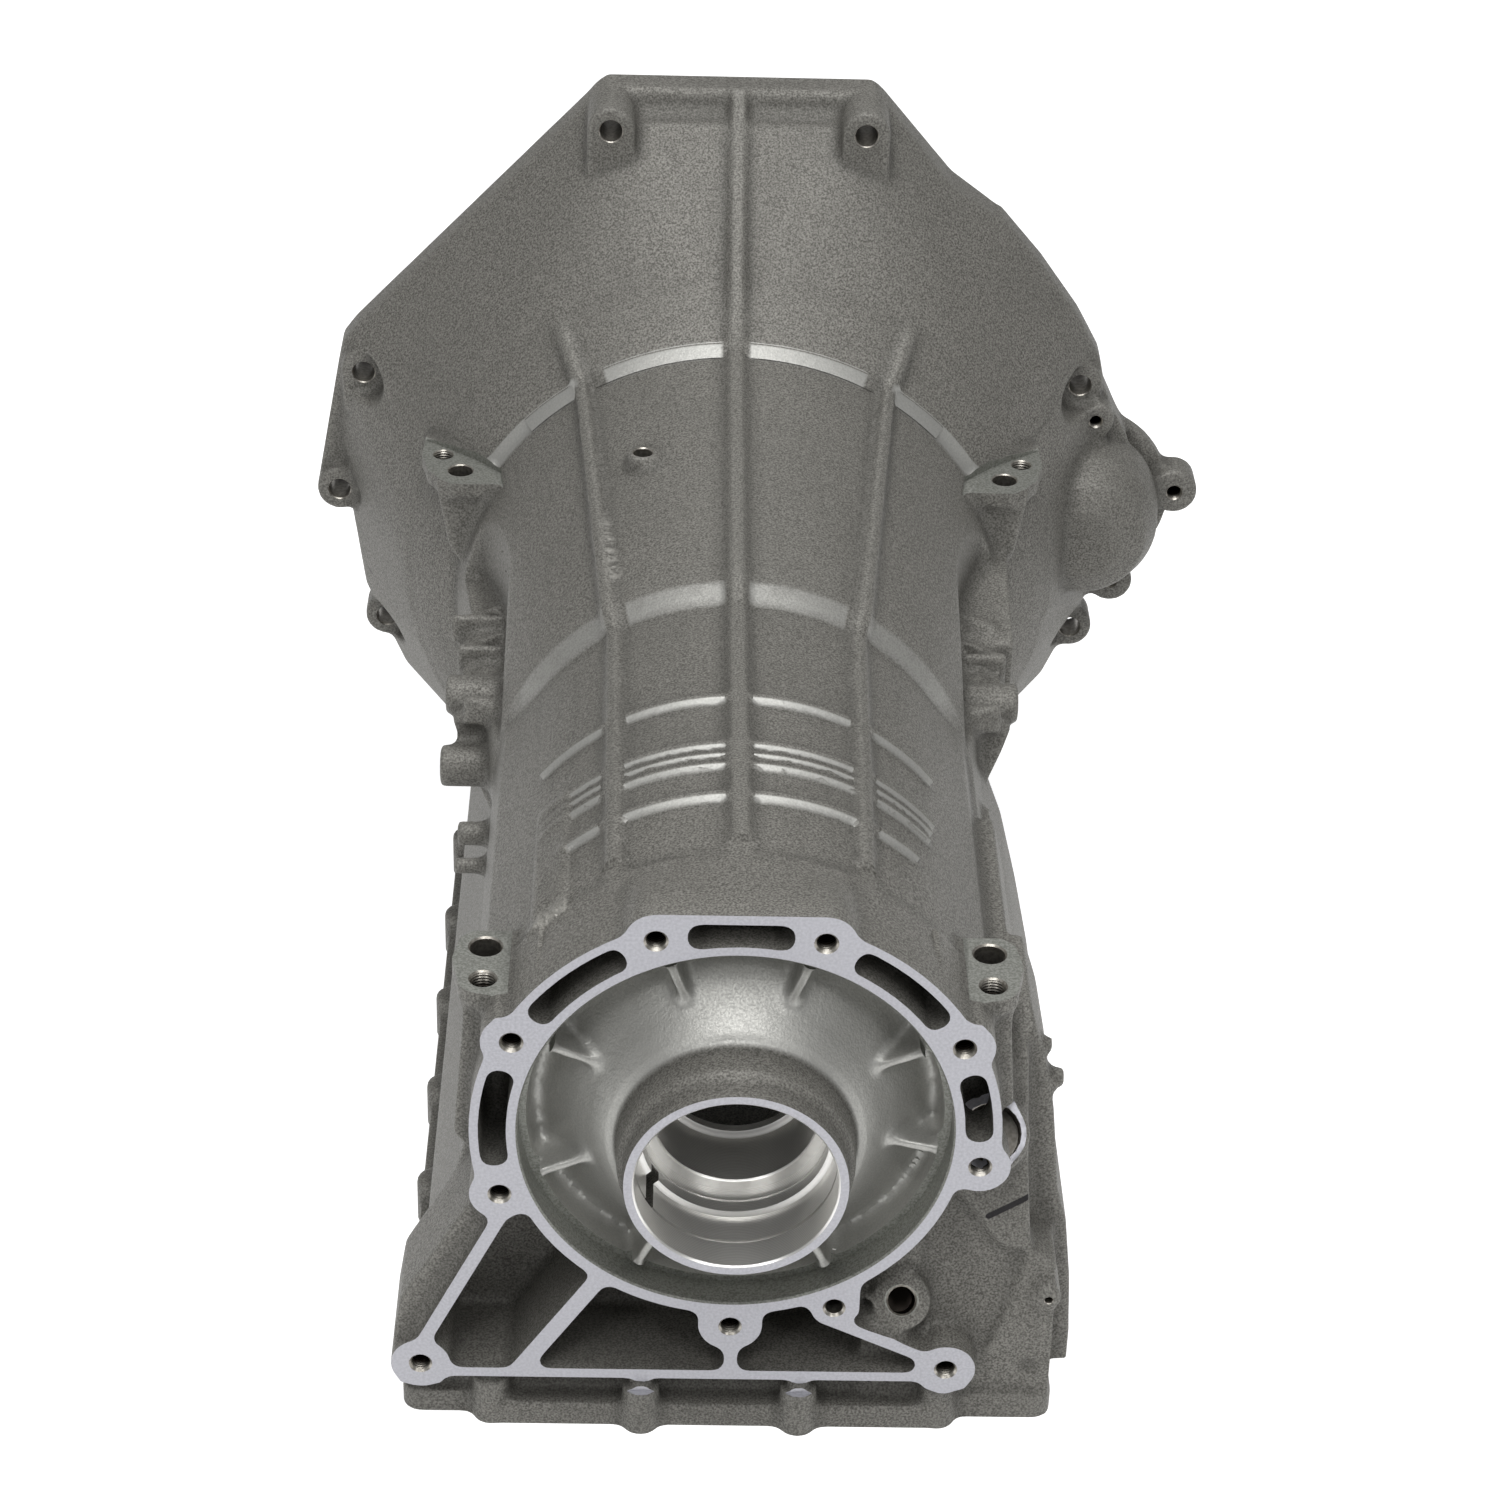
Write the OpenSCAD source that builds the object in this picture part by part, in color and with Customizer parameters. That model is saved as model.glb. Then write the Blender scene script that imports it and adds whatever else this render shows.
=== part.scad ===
// Automatic gearbox case: bell, barrel and pan box die cast in one piece.
// The shaft axis is the Y axis. The machined rear face lies at y = 0, the bell
// opens toward +Y, and the pan rail faces down. Millimetres.

/* [Overall] */
// Distance from the machined rear face to the bell face
case_length = 592; // [588:1:600]
// Height of the shaft axis above the pan face
axis_height = 170; // [168:1:174]
// Thickness of the cast outer walls
wall = 6; // [5:0.5:7]

/* [Rear face] */
// Radius of the pilot bore in the rear face
pilot_r = 94.5; // [94:0.5:95.5]
// Depth of the pilot bore
pilot_depth = 15; // [12:1:18]
// Step between the pilot bore and the cast bowl behind it
pilot_step = 3.5; // [2.5:0.5:4]
// Thickness of the thin ring between the pilot bore and the cored pockets
ring_wall = 5; // [4.5:0.5:6]
// Outer radius of the rear flange
flange_r = 115.5; // [115:0.5:117]
// Radius of the circle on which the rear threads sit
rear_circle_r = 108; // [107:0.5:109]
// Radius of each round boss on the rear face
rear_boss_r = 13.5; // [12.5:0.5:14]
// Radius of the tapped holes in the rear face
rear_thread_r = 4.3; // [4:0.1:5]
// Depth of the tapped holes in the rear face
rear_thread_depth = 26; // [20:1:30]
// Width of the machined webs that join the feet to the ring
web_w = 5.2; // [4.5:0.1:6]
// Depth of the open pockets behind the machined webs
web_depth = 50; // [46:1:54]

/* [Hub] */
// Outer radius of the hub tube
hub_r = 48.2; // [47.5:0.1:49]
// Radius of the open mouth of the hub
hub_mouth_r = 43.6; // [43:0.1:44]
// Radius of the bearing seat in the hub
seat_r = 41; // [40.5:0.1:42]
// Radius of the bush bore ahead of the bearing seat
bush_r = 36; // [35:0.5:37]
// Reach of the hub tube behind the rear face
hub_reach = 35.4; // [33:0.2:37]

/* [Barrel and bell] */
// Outer radius of the barrel
barrel_r = 113; // [112.5:0.1:113.5]
// Outer radius of the bell rim
bell_r = 223; // [221:1:225]
// Radius of the seat that the front pump fits
pump_bore_r = 102; // [100:1:104]
// Radius of the circle of pump screws
pump_circle_r = 118; // [116:1:120]
// Number of pump screws
pump_screws = 8; // [6:1:10]
// Height of the stiffening ribs above the casting
rib_h = 3.4; // [2.5:0.1:4.5]
// Radius of the engine bolt holes in the bell
bell_hole_r = 6; // [5.5:0.1:6.5]
// Radius of the bosses around the engine bolt holes
bell_boss_r = 12.6; // [12:0.1:13.2]

/* [Pan box] */
// Half width of the pan rail
rail_half_w = 149; // [147:1:151]
// Thickness of the pan rail
rail_t = 12; // [10:0.5:13]
// Width of the pan rail's sealing face
rail_face_w = 17; // [15:0.5:18]
// Distance between the pan bolts along the sides
pan_pitch = 76; // [74:0.5:77]
// Radius of the pan bolt threads
pan_thread_r = 3.4; // [3:0.1:3.6]

/* [Pads] */
// Height of the rear mounting pads above the shaft axis
rear_pad_z = 60; // [58:0.5:62]
// Height of the front mounting pads above the shaft axis
front_pad_z = 78; // [76:0.5:80]
// Distance of the rear pad holes from the centre plane
rear_pad_x = 110; // [108:0.5:112]

/* [Hidden] */
// Facets of small rounds, and of the large turned surfaces
$fn = 16;
turned_fn = 44;
hub_fn = 32;

// Overlap of joined solids, and overrun of cuts past a face
lap = 1;
// Length that passes the whole case, for cuts and limits
reach = 500;
pan_z = -axis_height;
face_y = case_length;

// Rear face. Angles run anticlockwise from +X, seen from behind
top_bolts = [70.7, 109.3];
side_bolts = [26.5, 153.5, 198.4, 351.8];
bottom_bolt = 270;
dowel_angle = -64.4;
dowel_r = 4;
core_outer_r = flange_r - 4;
core_inner_r = pilot_r + ring_wall;
core_depth = 38;
core_spans = [[34.5, 62.5], [117.5, 145.5], [161.8, 190], [-1, 18.8]];
foot_z = -132;
left_foot_x = -139;
right_foot_x = 98;
foot_base_z = foot_z - 11.6;
foot_len = 44;

// Bowl and hub
bowl_r = pilot_r - pilot_step;
bowl_y = 34;
collar_r = 51.5;
collar_root_y = -4;
collar_end_y = -21.5;
neck_y = collar_end_y - 4;
mouth_y = -2;
seat_end_y = 14;
bush_end_y = 44;
sleeve_end_y = 50;
lip_r = bush_r - 3;
ring_groove_y = -19.5;
ring_groove_w = 1.6;
ring_groove_d = 1.4;

// Barrel profile stations along Y
barrel_y = web_depth - 4;
soft_step_y = [262, 276];
soft_step_r = barrel_r + 6;
bell_root_y = face_y - 127;
bell_root_r = 147;
bell_step_y = bell_root_y + 2.4;
bell_step_r = 151.6;
dome_end_y = face_y - 92;
dome_end_r = 181;
dome_steps = 3;
cavity_r = barrel_r - wall;
// Flat flanks of the cone between the lugs and the front pads
flank_wall_x = 114;
flank_floor_z = 26;
flank_y = [240, bell_root_y - 25];
pump_seat_y = [bell_root_y - 22, bell_root_y - 7];
pump_web_r = 137;

// Radial ribs: angle from vertical, turn along the axis, width, end station
rib_polar = 28.6;
rib_turn = 1.3;
centre_rib_w = 8;
side_rib_w = 6.4;
side_rib_end_y = dome_end_y + 4;
centre_rib_start_y = 42;
side_rib_start_y = 30;
band_gap = 3.2;
band_spans = [[-52, -32.6], [-26.6, -band_gap], [band_gap, 26.6], [32.6, 52]];
bands = [[95, 5, 2.6, 44], [120, 3.4, 2.2, 49], [128, 3, 2.2, 50], [137, 5.4, 2.4, 51], [177, 5, 2.6, 52]];

// Vent boss on the barrel, and the flat patch behind it
vent = [-47, bell_root_y - 81];
vent_r = 4.8;
vent_boss_r = 7.8;
vent_boss_z = 110;
vent_boss_h = 21.5;
patch_angle = 47;
patch_y = [46, 144];
patch_w = 20;
patch_rise = 0.9;

// Bell rim
rim_y = face_y - 20;
rim_top_z = 249;
rim_half_w = 70;
rim_back_y = face_y - 16;
rim_low_r = 213;
rim_inside = 0.955;
upper_rim = [[-217, 40], [-217, 84], [-214.5, 96], [-207, 106], [-166, 148], [-134, 182], [-96, 220.5],
             [-rim_half_w - 5, 244.5], [-rim_half_w, rim_top_z], [rim_half_w + 1, rim_top_z],
             [rim_half_w + 8, 244], [144, 178], [168, 150], [190, 119.5], [203, 96], [213, 50]];
rim_notch = [[rim_half_w + 1, rim_top_z + 1], [rim_half_w + 8, 243], [116, 198], [144, 177], [170, 260]];
low_boss_z = -74.8;
low_boss_inset = [5.27, 1.44];
low_boss_x = [for (gap = low_boss_inset) sqrt(pow(rim_low_r - gap, 2) - pow(low_boss_z, 2))];
side_bosses = [[-202, 84.6, face_y - 29], [191.6, 84.6, face_y - 29], [-218, 9.3, face_y - 24],
               [-low_boss_x[0], low_boss_z, face_y - 19], [low_boss_x[1], low_boss_z, face_y - 19]];
top_boss = [67, rim_top_z - 13, face_y - 47];
cove_y = face_y - 30;
cove_z = rim_top_z - 3.5;
cove_r = 11;
cove_half_w = 80;
bell_foot_z = pan_z + 15;
bell_floor_z = bell_foot_z + 8;

// Mounting pads: thickness, and the places of their holes
pad_t = 8.5;
rear_pad_y = [54, 30];
front_pad_y = bell_root_y - 18;
front_pad_big = [143.4, front_pad_y + 15.5];
front_pad_small = [153.5, front_pad_y + 33];

// Starter nose
nose_x = 196;
nose_z = 5;
nose_r = 53;
nose_back_y = face_y - 76;
nose_ears = [[nose_x + 5, 66, 10.5, face_y - 36, 3.3], [nose_x + 54.8, 13.6, 13, face_y - 19, 4],
             [nose_x + 23.3, -44.7, 12.4, face_y - 19, 3.3]];

// Cross lug on each side
lug_y = 326;
lug_z = 23;
lug_r = 10;
lug_root_x = 92;
lug_bar_w = 5;
field_x = 128;
field_y = lug_y + 54;
field_w = 36;

// Side stubs: station, height, reach, radius, hole radius and hole depth
left_stubs = [[300, -3, 145.5, 10.5, 6, 19], [240, -4, 133.5, 6, 3.2, 15], [212, -4, 133.5, 4, 1.6, 6]];
right_stubs = [[250, -2, 126, 10, 6, 14], [216, -14, 131, 11, 7, 13]];
stub_root_x = 90;

// Leaning wall at the right of the rear face
lean_start_y = 14;
lean_low_z = -122;
lean_slope = 0.19;
field_depth = 3;
low_port = [77, 10, -100];
low_port_tilt = 52;
high_port = [113, 21, -13];
high_port_tilt = 46;
pin_lug = [144, -103];

// Pan box
rail_y = [3, face_y - 106];
rail_corner_y = 11;
rail_mid_x = [-105, 97];
box_half_w = rail_half_w - 8;
box_y = [16, rail_y[1] - 6];
flank_x = 117.5;
shoulder = [108, -46];
hip_z = -118;
box_ledge_z = foot_base_z + 3;
pan_cavity_half_w = rail_half_w - rail_face_w;
pan_cavity_y = [27, rail_y[1] - 18];
rear_pan_x = [-108, -39.7, 32, 96];
pan_boss_r = 8.5;
pan_boss_h = 24;
pan_first_y = 75;
pan_side_bolts = floor((rail_y[1] - pan_boss_r - pan_first_y) / pan_pitch) + 1;

// A drawing in X and Z, thickened from y = start to y = end
module plate(start, end) {
    translate([0, end, 0]) rotate([90, 0, 0]) linear_extrude(end - start) children();
}

// A drawing in Y and Z, thickened along X about the centre plane
module fin(width) {
    rotate([90, 0, 90]) translate([0, 0, -width / 2]) linear_extrude(width) children();
}

// A drawing in radius and Y, turned about the shaft axis
module turned(facets = turned_fn) {
    rotate([-90, 0, 0]) rotate_extrude($fn = facets) children();
}

// The same between two angles from vertical, toward +X
module turned_part(from, to) {
    rotate([-90, 0, 0]) rotate_extrude(start = from - 90, angle = to - from, $fn = turned_fn) children();
}

// A round bar or hole along Y
module along_y(x, z, start, end, r) {
    translate([x, start, z]) rotate([-90, 0, 0]) cylinder(h = end - start, r = r);
}

// A round bar or hole along X
module along_x(y, z, start, end, r) {
    translate([start, y, z]) rotate([0, 90, 0]) cylinder(h = end - start, r = r);
}

function on_circle(r, a) = [r * cos(a), r * sin(a)];

// Shoulder of the bell, a bulge that starts at the step and flattens toward the rim
function dome_r(y) = bell_step_r + (dome_end_r - bell_step_r) * sin(90 * (y - bell_step_y) / dome_span);
dome_span = (dome_end_y - bell_step_y) * 1.6;
dome = [for (i = [1 : dome_steps]) let (y = bell_step_y + (dome_end_y - bell_step_y) * i / dome_steps)
    [dome_r(y), y]];

// Outer skin of the barrel, the cone and the shoulder of the bell
module outer_profile() {
    polygon(concat(
        [[0, barrel_y], [barrel_r, barrel_y], [barrel_r, soft_step_y[0]],
         [soft_step_r, soft_step_y[1]], [bell_root_r, bell_root_y], [bell_step_r, bell_step_y]],
        dome,
        [[0, dome_end_y]]));
}

// Convex outline that the bell flares out to
module flare_outline() {
    intersection() {
        polygon(concat(upper_rim, [for (a = [0 : -15 : -180]) on_circle(rim_low_r, a)]));
        translate([-bell_r - 50, bell_foot_z]) square([2 * bell_r + 100, reach]);
    }
}

// Solid that flares from the round shoulder to the outline of the rim
module flare(shrink, near_y, near_r, far_y) {
    hull() {
        translate([0, near_y - 1, 0]) rotate([-90, 0, 0]) cylinder(h = 1, r = near_r, $fn = turned_fn);
        plate(far_y, face_y + (1 - shrink) * 40) scale([shrink, shrink]) flare_outline();
    }
}

// The space beside the cone that the flat flanks leave free
module flank_space(gap) {
    for (s = [0, 1]) mirror([s, 0, 0])
        translate([0, 0, flank_floor_z - gap]) linear_extrude(barrel_r)
            polygon([[flank_wall_x - gap, flank_y[0]], [flank_wall_x + 86, flank_y[0]],
                     [flank_wall_x + 86, flank_y[1]], [flank_wall_x + 17 - gap, flank_y[1]],
                     [flank_wall_x + 11 - gap, flank_y[1] - 13], [flank_wall_x + 4 - gap, flank_y[1] - 36],
                     [flank_wall_x - gap, flank_y[1] - 60]]);
}

module outer_skin() {
    difference() {
        turned() outer_profile();
        flank_space(0);
    }
    flare(1, dome_end_y + 0.4, dome[dome_steps - 1][0] / cos(180 / turned_fn) + 0.3, rim_back_y);
}

// Inside of the barrel, up to the back of the pump seat
module barrel_cavity() {
    difference() {
        turned() barrel_cavity_profile();
        flank_space(wall);
    }
}

module barrel_cavity_profile() {
    polygon([
        [0, sleeve_end_y], [hub_r, sleeve_end_y], [hub_r, collar_root_y + 13],
        [collar_r, collar_root_y + 12], [bowl_r - 4, bowl_y + 7], [cavity_r, bowl_y + 16],
        [cavity_r, soft_step_y[0] - 4], [soft_step_r - wall, soft_step_y[1] - 4],
        [pump_web_r, pump_seat_y[0]], [0, pump_seat_y[0]]]);
}

// Inside of the bell, with a flat floor above the pan face
module bell_cavity() {
    intersection() {
        union() {
            turned() polygon(concat(
                [[0, pump_seat_y[1]], [pump_web_r + 1, pump_seat_y[1]],
                 [bell_step_r - wall - 1, bell_step_y + 6]],
                [for (p = dome) [p[0] - wall - 1, p[1] + 3]],
                [[0, dome_end_y + 3]]));
            flare(rim_inside, dome_end_y + 3, dome[dome_steps - 1][0] - wall - 1, rim_back_y + 8);
        }
        translate([-bell_r, pump_seat_y[1] - lap, bell_floor_z])
            cube([2 * bell_r, face_y, 2 * bell_r]);
    }
}

// Ring, feet and webs of the machined rear face, as a drawing
module rear_outline() {
    circle(r = core_inner_r + 1.2);
    intersection() {
        circle(r = flange_r);
        polygon([[-130, -36], [130, -16], [130, 130], [-130, 130]]);
    }
    // Flat top between the two upper bosses
    translate([-rear_circle_r * cos(top_bolts[0]), 60])
        square([2 * rear_circle_r * cos(top_bolts[0]), rear_circle_r * sin(top_bolts[0]) + rear_boss_r - 60]);
    for (a = concat(top_bolts, side_bolts)) translate(on_circle(rear_circle_r, a)) circle(r = rear_boss_r);
    translate(on_circle(rear_circle_r - 1, bottom_bolt)) circle(r = rear_boss_r + 1);
    translate(on_circle(rear_circle_r - 1, dowel_angle)) circle(r = rear_boss_r - 3);
    web_outline();
}

// A straight web between two points
module web_line(from, to, w) {
    run = to - from;
    translate(from) rotate(atan2(run[1], run[0])) translate([0, -w / 2]) square([norm(run), w]);
}

// Webs from the ring to the two feet and along the base, as a drawing
module web_outline() {
    left_foot = [left_foot_x, foot_z];
    right_foot = [right_foot_x, foot_z];
    base_z = foot_z - 4.6;
    web_line([-100, -42], left_foot + [-1, 8], web_w + 0.8);
    web_line([-58, -80], [-96, base_z], web_w + 3);
    web_line([left_foot_x, base_z], [right_foot_x, base_z], web_w);
    web_line([0.6, base_z], [0.6, -108], web_w + 0.6);
    web_line(on_circle(rear_circle_r - 1, dowel_angle) + [-5, -6], right_foot + [-6, 5], web_w + 0.4);
    web_line([53, -84], [53, -100], 9);
    for (p = [left_foot, right_foot]) {
        translate(p) circle(r = rear_boss_r);
        translate(p + [-9.6, foot_base_z - foot_z]) square([19.2, 11]);
    }
}

// Solid stock of the rear flange and the feet
module rear_stock() {
    plate(0, web_depth) rear_outline();
    // Outer skin to the left of the left web
    plate(6, web_depth) polygon([[-102, -40], [-116, -44], [-148, -100], [-151.5, -122], [-152, foot_base_z],
                                 [-138, foot_base_z], [-142, -122]]);
    for (x = [left_foot_x, right_foot_x])
        translate([x, 0, foot_z]) rotate([-90, 0, 0]) cylinder(h = foot_len, r1 = rear_boss_r, r2 = 9);
}

// Cored pockets between the pilot ring and the outer wall of the rear flange
module core_pockets() {
    for (s = core_spans)
        turned_part(90 - s[1], 90 - s[0])
            translate([core_inner_r, -lap]) square([core_outer_r - core_inner_r, core_depth + lap]);
    plate(-lap, core_depth) difference() {
        translate([-22.6, core_inner_r - 6]) square([45.2, 17.2]);
        circle(r = core_inner_r);
    }
}

// Bowl between the ring and the hub, open to the rear
module bowl_cut() {
    turned(hub_fn) polygon([
        [collar_r, collar_root_y], [bowl_r - 5, bowl_y - 5], [bowl_r - 1.5, bowl_y - 0.5],
        [bowl_r, bowl_y - 4], [bowl_r, pilot_depth], [pilot_r, pilot_depth],
        [pilot_r, -lap], [collar_r, -lap]]);
}

// Hub tube behind the bowl, with a stepped collar
module hub_stock() {
    turned(hub_fn) polygon([
        [0, -hub_reach], [hub_r - 0.6, -hub_reach], [hub_r, -hub_reach + 0.6], [hub_r, neck_y],
        [collar_r, collar_end_y], [collar_r, collar_root_y + 1], [collar_r, sleeve_end_y - 20],
        [hub_r, sleeve_end_y - 10], [hub_r, sleeve_end_y], [0, sleeve_end_y]]);
}

// Stepped bores of the hub, a retaining ring groove and an oil window
module hub_bores() {
    turned(hub_fn) polygon([
        [0, -hub_reach - lap], [hub_mouth_r + 0.8, -hub_reach - lap], [hub_mouth_r + 0.8, -hub_reach],
        [hub_mouth_r, -hub_reach + 0.8], [hub_mouth_r, mouth_y], [seat_r, mouth_y + 0.8],
        [seat_r, seat_end_y], [bush_r + 0.8, seat_end_y], [bush_r, seat_end_y + 0.8],
        [bush_r, bush_end_y], [lip_r, bush_end_y + 1.5], [lip_r, sleeve_end_y + lap],
        [0, sleeve_end_y + lap]]);
    along_y(0, 0, ring_groove_y, ring_groove_y + ring_groove_w, hub_mouth_r + ring_groove_d);
    rotate([0, -32, 0]) translate([-hub_r - 6, -18, -3]) cube([16, 22, 6]);
}

// Small gussets from the ring into the bowl, one behind each thread
module bowl_gussets() {
    for (a = concat(top_bolts, side_bolts, [-118, -62]))
        rotate([0, 90 - a, 0]) fin(4.2)
            polygon([[7, bowl_r + 1.2], [bowl_y, bowl_r + 1.2], [bowl_y, bowl_r - 4], [14, 66], [9.4, 68]]);
}

// Ribs that run along the barrel into the bell
module long_ribs() {
    fin(centre_rib_w) polygon([
        [centre_rib_start_y, barrel_r - 3], [centre_rib_start_y + 10, barrel_r + rib_h],
        [soft_step_y[0], barrel_r + rib_h], [soft_step_y[1], soft_step_r + rib_h],
        [bell_root_y, bell_root_r + rib_h], [bell_step_y, bell_step_r + rib_h],
        [dome_end_y - 8, dome_r(dome_end_y - 8) + 5], [dome_end_y, dome_r(dome_end_y) + 7],
        [rim_back_y - 2, rim_top_z + 1], [rim_back_y, rim_top_z - 6], [rim_back_y, 215],
        [bell_step_y, bell_root_r - 2],
        [soft_step_y[1], soft_step_r - 3], [soft_step_y[0], barrel_r - 4],
        [centre_rib_start_y, barrel_r - 4]]);
    for (s = [-1, 1])
        rotate([0, s * rib_polar, 0]) rotate([0, 0, -s * rib_turn]) translate([-s * 1, 0, 0])
            fin(side_rib_w) polygon(concat(
                [[side_rib_start_y, barrel_r - 3], [side_rib_start_y + 12, barrel_r + rib_h],
                 [soft_step_y[0], barrel_r + rib_h], [soft_step_y[1], soft_step_r + rib_h],
                 [bell_root_y, bell_root_r + rib_h + 2], [bell_step_y, bell_step_r + rib_h + 1]],
                // The rib follows the dome and fades out
                [for (i = [1 : 3]) let (y = bell_step_y + 8 * i - 1.4) [y, dome_r(y) + rib_h + 2 - i]],
                [[side_rib_end_y, dome_r(side_rib_end_y)], [side_rib_end_y, dome_r(side_rib_end_y) - 5],
                 [bell_step_y, bell_root_r - 3], [soft_step_y[1], soft_step_r - 4],
                 [soft_step_y[0], barrel_r - 4], [side_rib_start_y, barrel_r - 4]]));
}

// Raised bands across the top of the barrel, broken at each long rib
module cross_bands() {
    for (b = bands)
        for (s = band_spans)
            turned_part(max(s[0], -b[3]), min(s[1], b[3]))
                polygon([[barrel_r - 2, b[0] - b[1] / 2], [barrel_r + b[2], b[0] - b[1] / 3],
                         [barrel_r + b[2], b[0] + b[1] / 3], [barrel_r - 2, b[0] + b[1] / 2]]);
}

// Outline of the bell face, with its ears
module rim_outline() {
    difference() {
        union() {
            flare_outline();
            polygon([[-200, 84], [-217, 84], [-230.6, 10], [-200, 10]]);
            for (b = side_bosses) translate([b[0], b[1]]) circle(r = bell_boss_r);
            for (e = nose_ears) translate([e[0], e[1]]) circle(r = e[2]);
        }
        translate([-bell_r - 50, bell_foot_z - reach]) square([2 * bell_r + 100, reach]);
    }
}

// Ears, top lip and starter nose around the bell
module bell_rim() {
    plate(rim_back_y, face_y) rim_outline();
    along_y(nose_x, nose_z, face_y - 9, face_y, nose_r);
    plate(face_y - 22, face_y) polygon([[180, 80], [203, 95], [207, 78], [215, 61], [222, 48], [190, 40]]);
    for (s = [-1, 1]) {
        along_y(s * top_boss[0], top_boss[1], top_boss[2], face_y - lap, bell_boss_r);
        translate([s * top_boss[0] - bell_boss_r, top_boss[2], 190])
            cube([2 * bell_boss_r, face_y - top_boss[2] - lap, top_boss[1] - 190]);
    }
    for (b = side_bosses) along_y(b[0], b[1], b[2], face_y - lap, bell_boss_r);
    translate([-214, face_y - 29, 62]) cube([24, 20, 22]);
    translate([-228, face_y - 24, 8]) cube([24, 20, 10]);
    for (e = nose_ears) along_y(e[0], e[1], e[3], face_y - lap, e[2]);
    translate([nose_x, 0, nose_z + 5]) turned() polygon([
        [0, nose_back_y], [20, nose_back_y], [34, nose_back_y + 8], [42, nose_back_y + 24],
        [44, nose_back_y + 40], [44, rim_y + 2], [0, rim_y + 2]]);
    translate([nose_x + 16, nose_back_y + 20, -12]) rotate([0, -12, 0]) cube([16, 30, 30]);
}

// Pocket inside the starter nose, open into the bell
module nose_pocket() {
    translate([nose_x, 0, nose_z + 5]) turned() polygon([
        [0, nose_back_y + 8], [28, nose_back_y + 12], [36, nose_back_y + 28], [38, face_y + lap],
        [0, face_y + lap]]);
}

// Engine bolt holes, starter threads and the vent
module bell_holes() {
    for (s = [-1, 1]) along_y(s * top_boss[0], top_boss[1], top_boss[2] - lap, face_y + lap, bell_hole_r);
    for (b = side_bosses) {
        along_y(b[0], b[1], b[2] - 20, face_y + lap, bell_hole_r);
        along_y(b[0], b[1], b[2] - 30, b[2], bell_boss_r);
    }
    for (e = nose_ears) along_y(e[0], e[1], e[3] - lap, e[3] + 16, e[4]);
}

// Cross section of the pan box, outside
module box_outline() {
    polygon([[-flank_x, -34], [-box_half_w, hip_z], [-box_half_w, pan_z], [box_half_w, pan_z],
             [box_half_w, hip_z], [flank_x, -34], [flank_x, 8], [112, 36], [96, 60], [-96, 60],
             [-112, 36], [-flank_x, 8]]);
}

// Cross section of the pan box, inside
module box_inside() {
    inner = box_half_w - wall;
    polygon([[-shoulder[0] + wall, shoulder[1] - 4], [-inner, hip_z - 2], [-inner, pan_z - lap],
             [inner, pan_z - lap], [inner, hip_z - 2], [shoulder[0] - wall, shoulder[1] - 4]]);
}

// Pan rail as a drawing in X and Y
module rail_outline() {
    corner_r = 9;
    front_y = rail_y[1];
    translate([-rail_half_w, rail_corner_y + corner_r])
        square([2 * rail_half_w, front_y - rail_corner_y - corner_r]);
    translate([-rail_half_w + corner_r, rail_corner_y])
        square([2 * (rail_half_w - corner_r), front_y - rail_corner_y]);
    for (s = [-1, 1])
        translate([s * (rail_half_w - corner_r), rail_corner_y + corner_r]) circle(r = corner_r);
    polygon([[rail_mid_x[0] - 8, rail_corner_y], [rail_mid_x[0], rail_y[0]], [rail_mid_x[1], rail_y[0]],
             [rail_mid_x[1] + 8, rail_corner_y], [rail_mid_x[1], 30], [rail_mid_x[0], 30]]);
}

rear_pan_bolts = [for (x = rear_pan_x) [x, abs(x) < 60 ? rail_y[0] + 2 : rail_y[0] + 8]];
side_pan_bolts = [for (s = [-1, 1], i = [0 : pan_side_bolts - 1])
    [s * (rail_half_w - 6.5), pan_first_y + i * pan_pitch]];

// Pan box, rail and pan bolt bosses
module pan_box() {
    intersection() {
        plate(box_y[0], box_y[1]) box_outline();
        // The flanks stop short of the machined face and of the bell
        fin(reach) polygon([[box_y[0], pan_z], [box_y[0], box_ledge_z], [barrel_y, box_ledge_z],
                          [web_depth + 4, 62], [290, 62], [330, -40], [box_y[1], -60], [box_y[1], pan_z]]);
    }
    translate([0, 0, pan_z]) linear_extrude(rail_t) rail_outline();
    for (p = concat(rear_pan_bolts, side_pan_bolts))
        translate([p[0], p[1], pan_z]) cylinder(h = pan_boss_h, r = pan_boss_r);
}

// Space inside the pan box, below the barrel
module pan_cavity() {
    difference() {
        plate(pan_cavity_y[0], pan_cavity_y[1]) box_inside();
        outer_skin();
        // Roof over the rear pockets
        translate([-box_half_w, 0, foot_base_z - 4]) cube([2 * box_half_w, web_depth + wall, 200]);
    }
    // Rail opening, narrower than the box
    translate([-pan_cavity_half_w, pan_cavity_y[0], pan_z - lap])
        cube([2 * pan_cavity_half_w, pan_cavity_y[1] - pan_cavity_y[0], rail_t + 2 * lap]);
    // Window from the pan into the barrel
    translate([-62, 74, pan_z + 20]) cube([124, 70, 110]);
    translate([-62, 300, pan_z + 20]) cube([124, bell_root_y - 343, 110]);
}

// Threads in the pan rail, cut from below
module pan_threads() {
    for (p = concat(rear_pan_bolts, side_pan_bolts))
        translate([p[0], p[1], pan_z - lap]) cylinder(h = pan_boss_h - 3, r = pan_thread_r);
}

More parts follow.
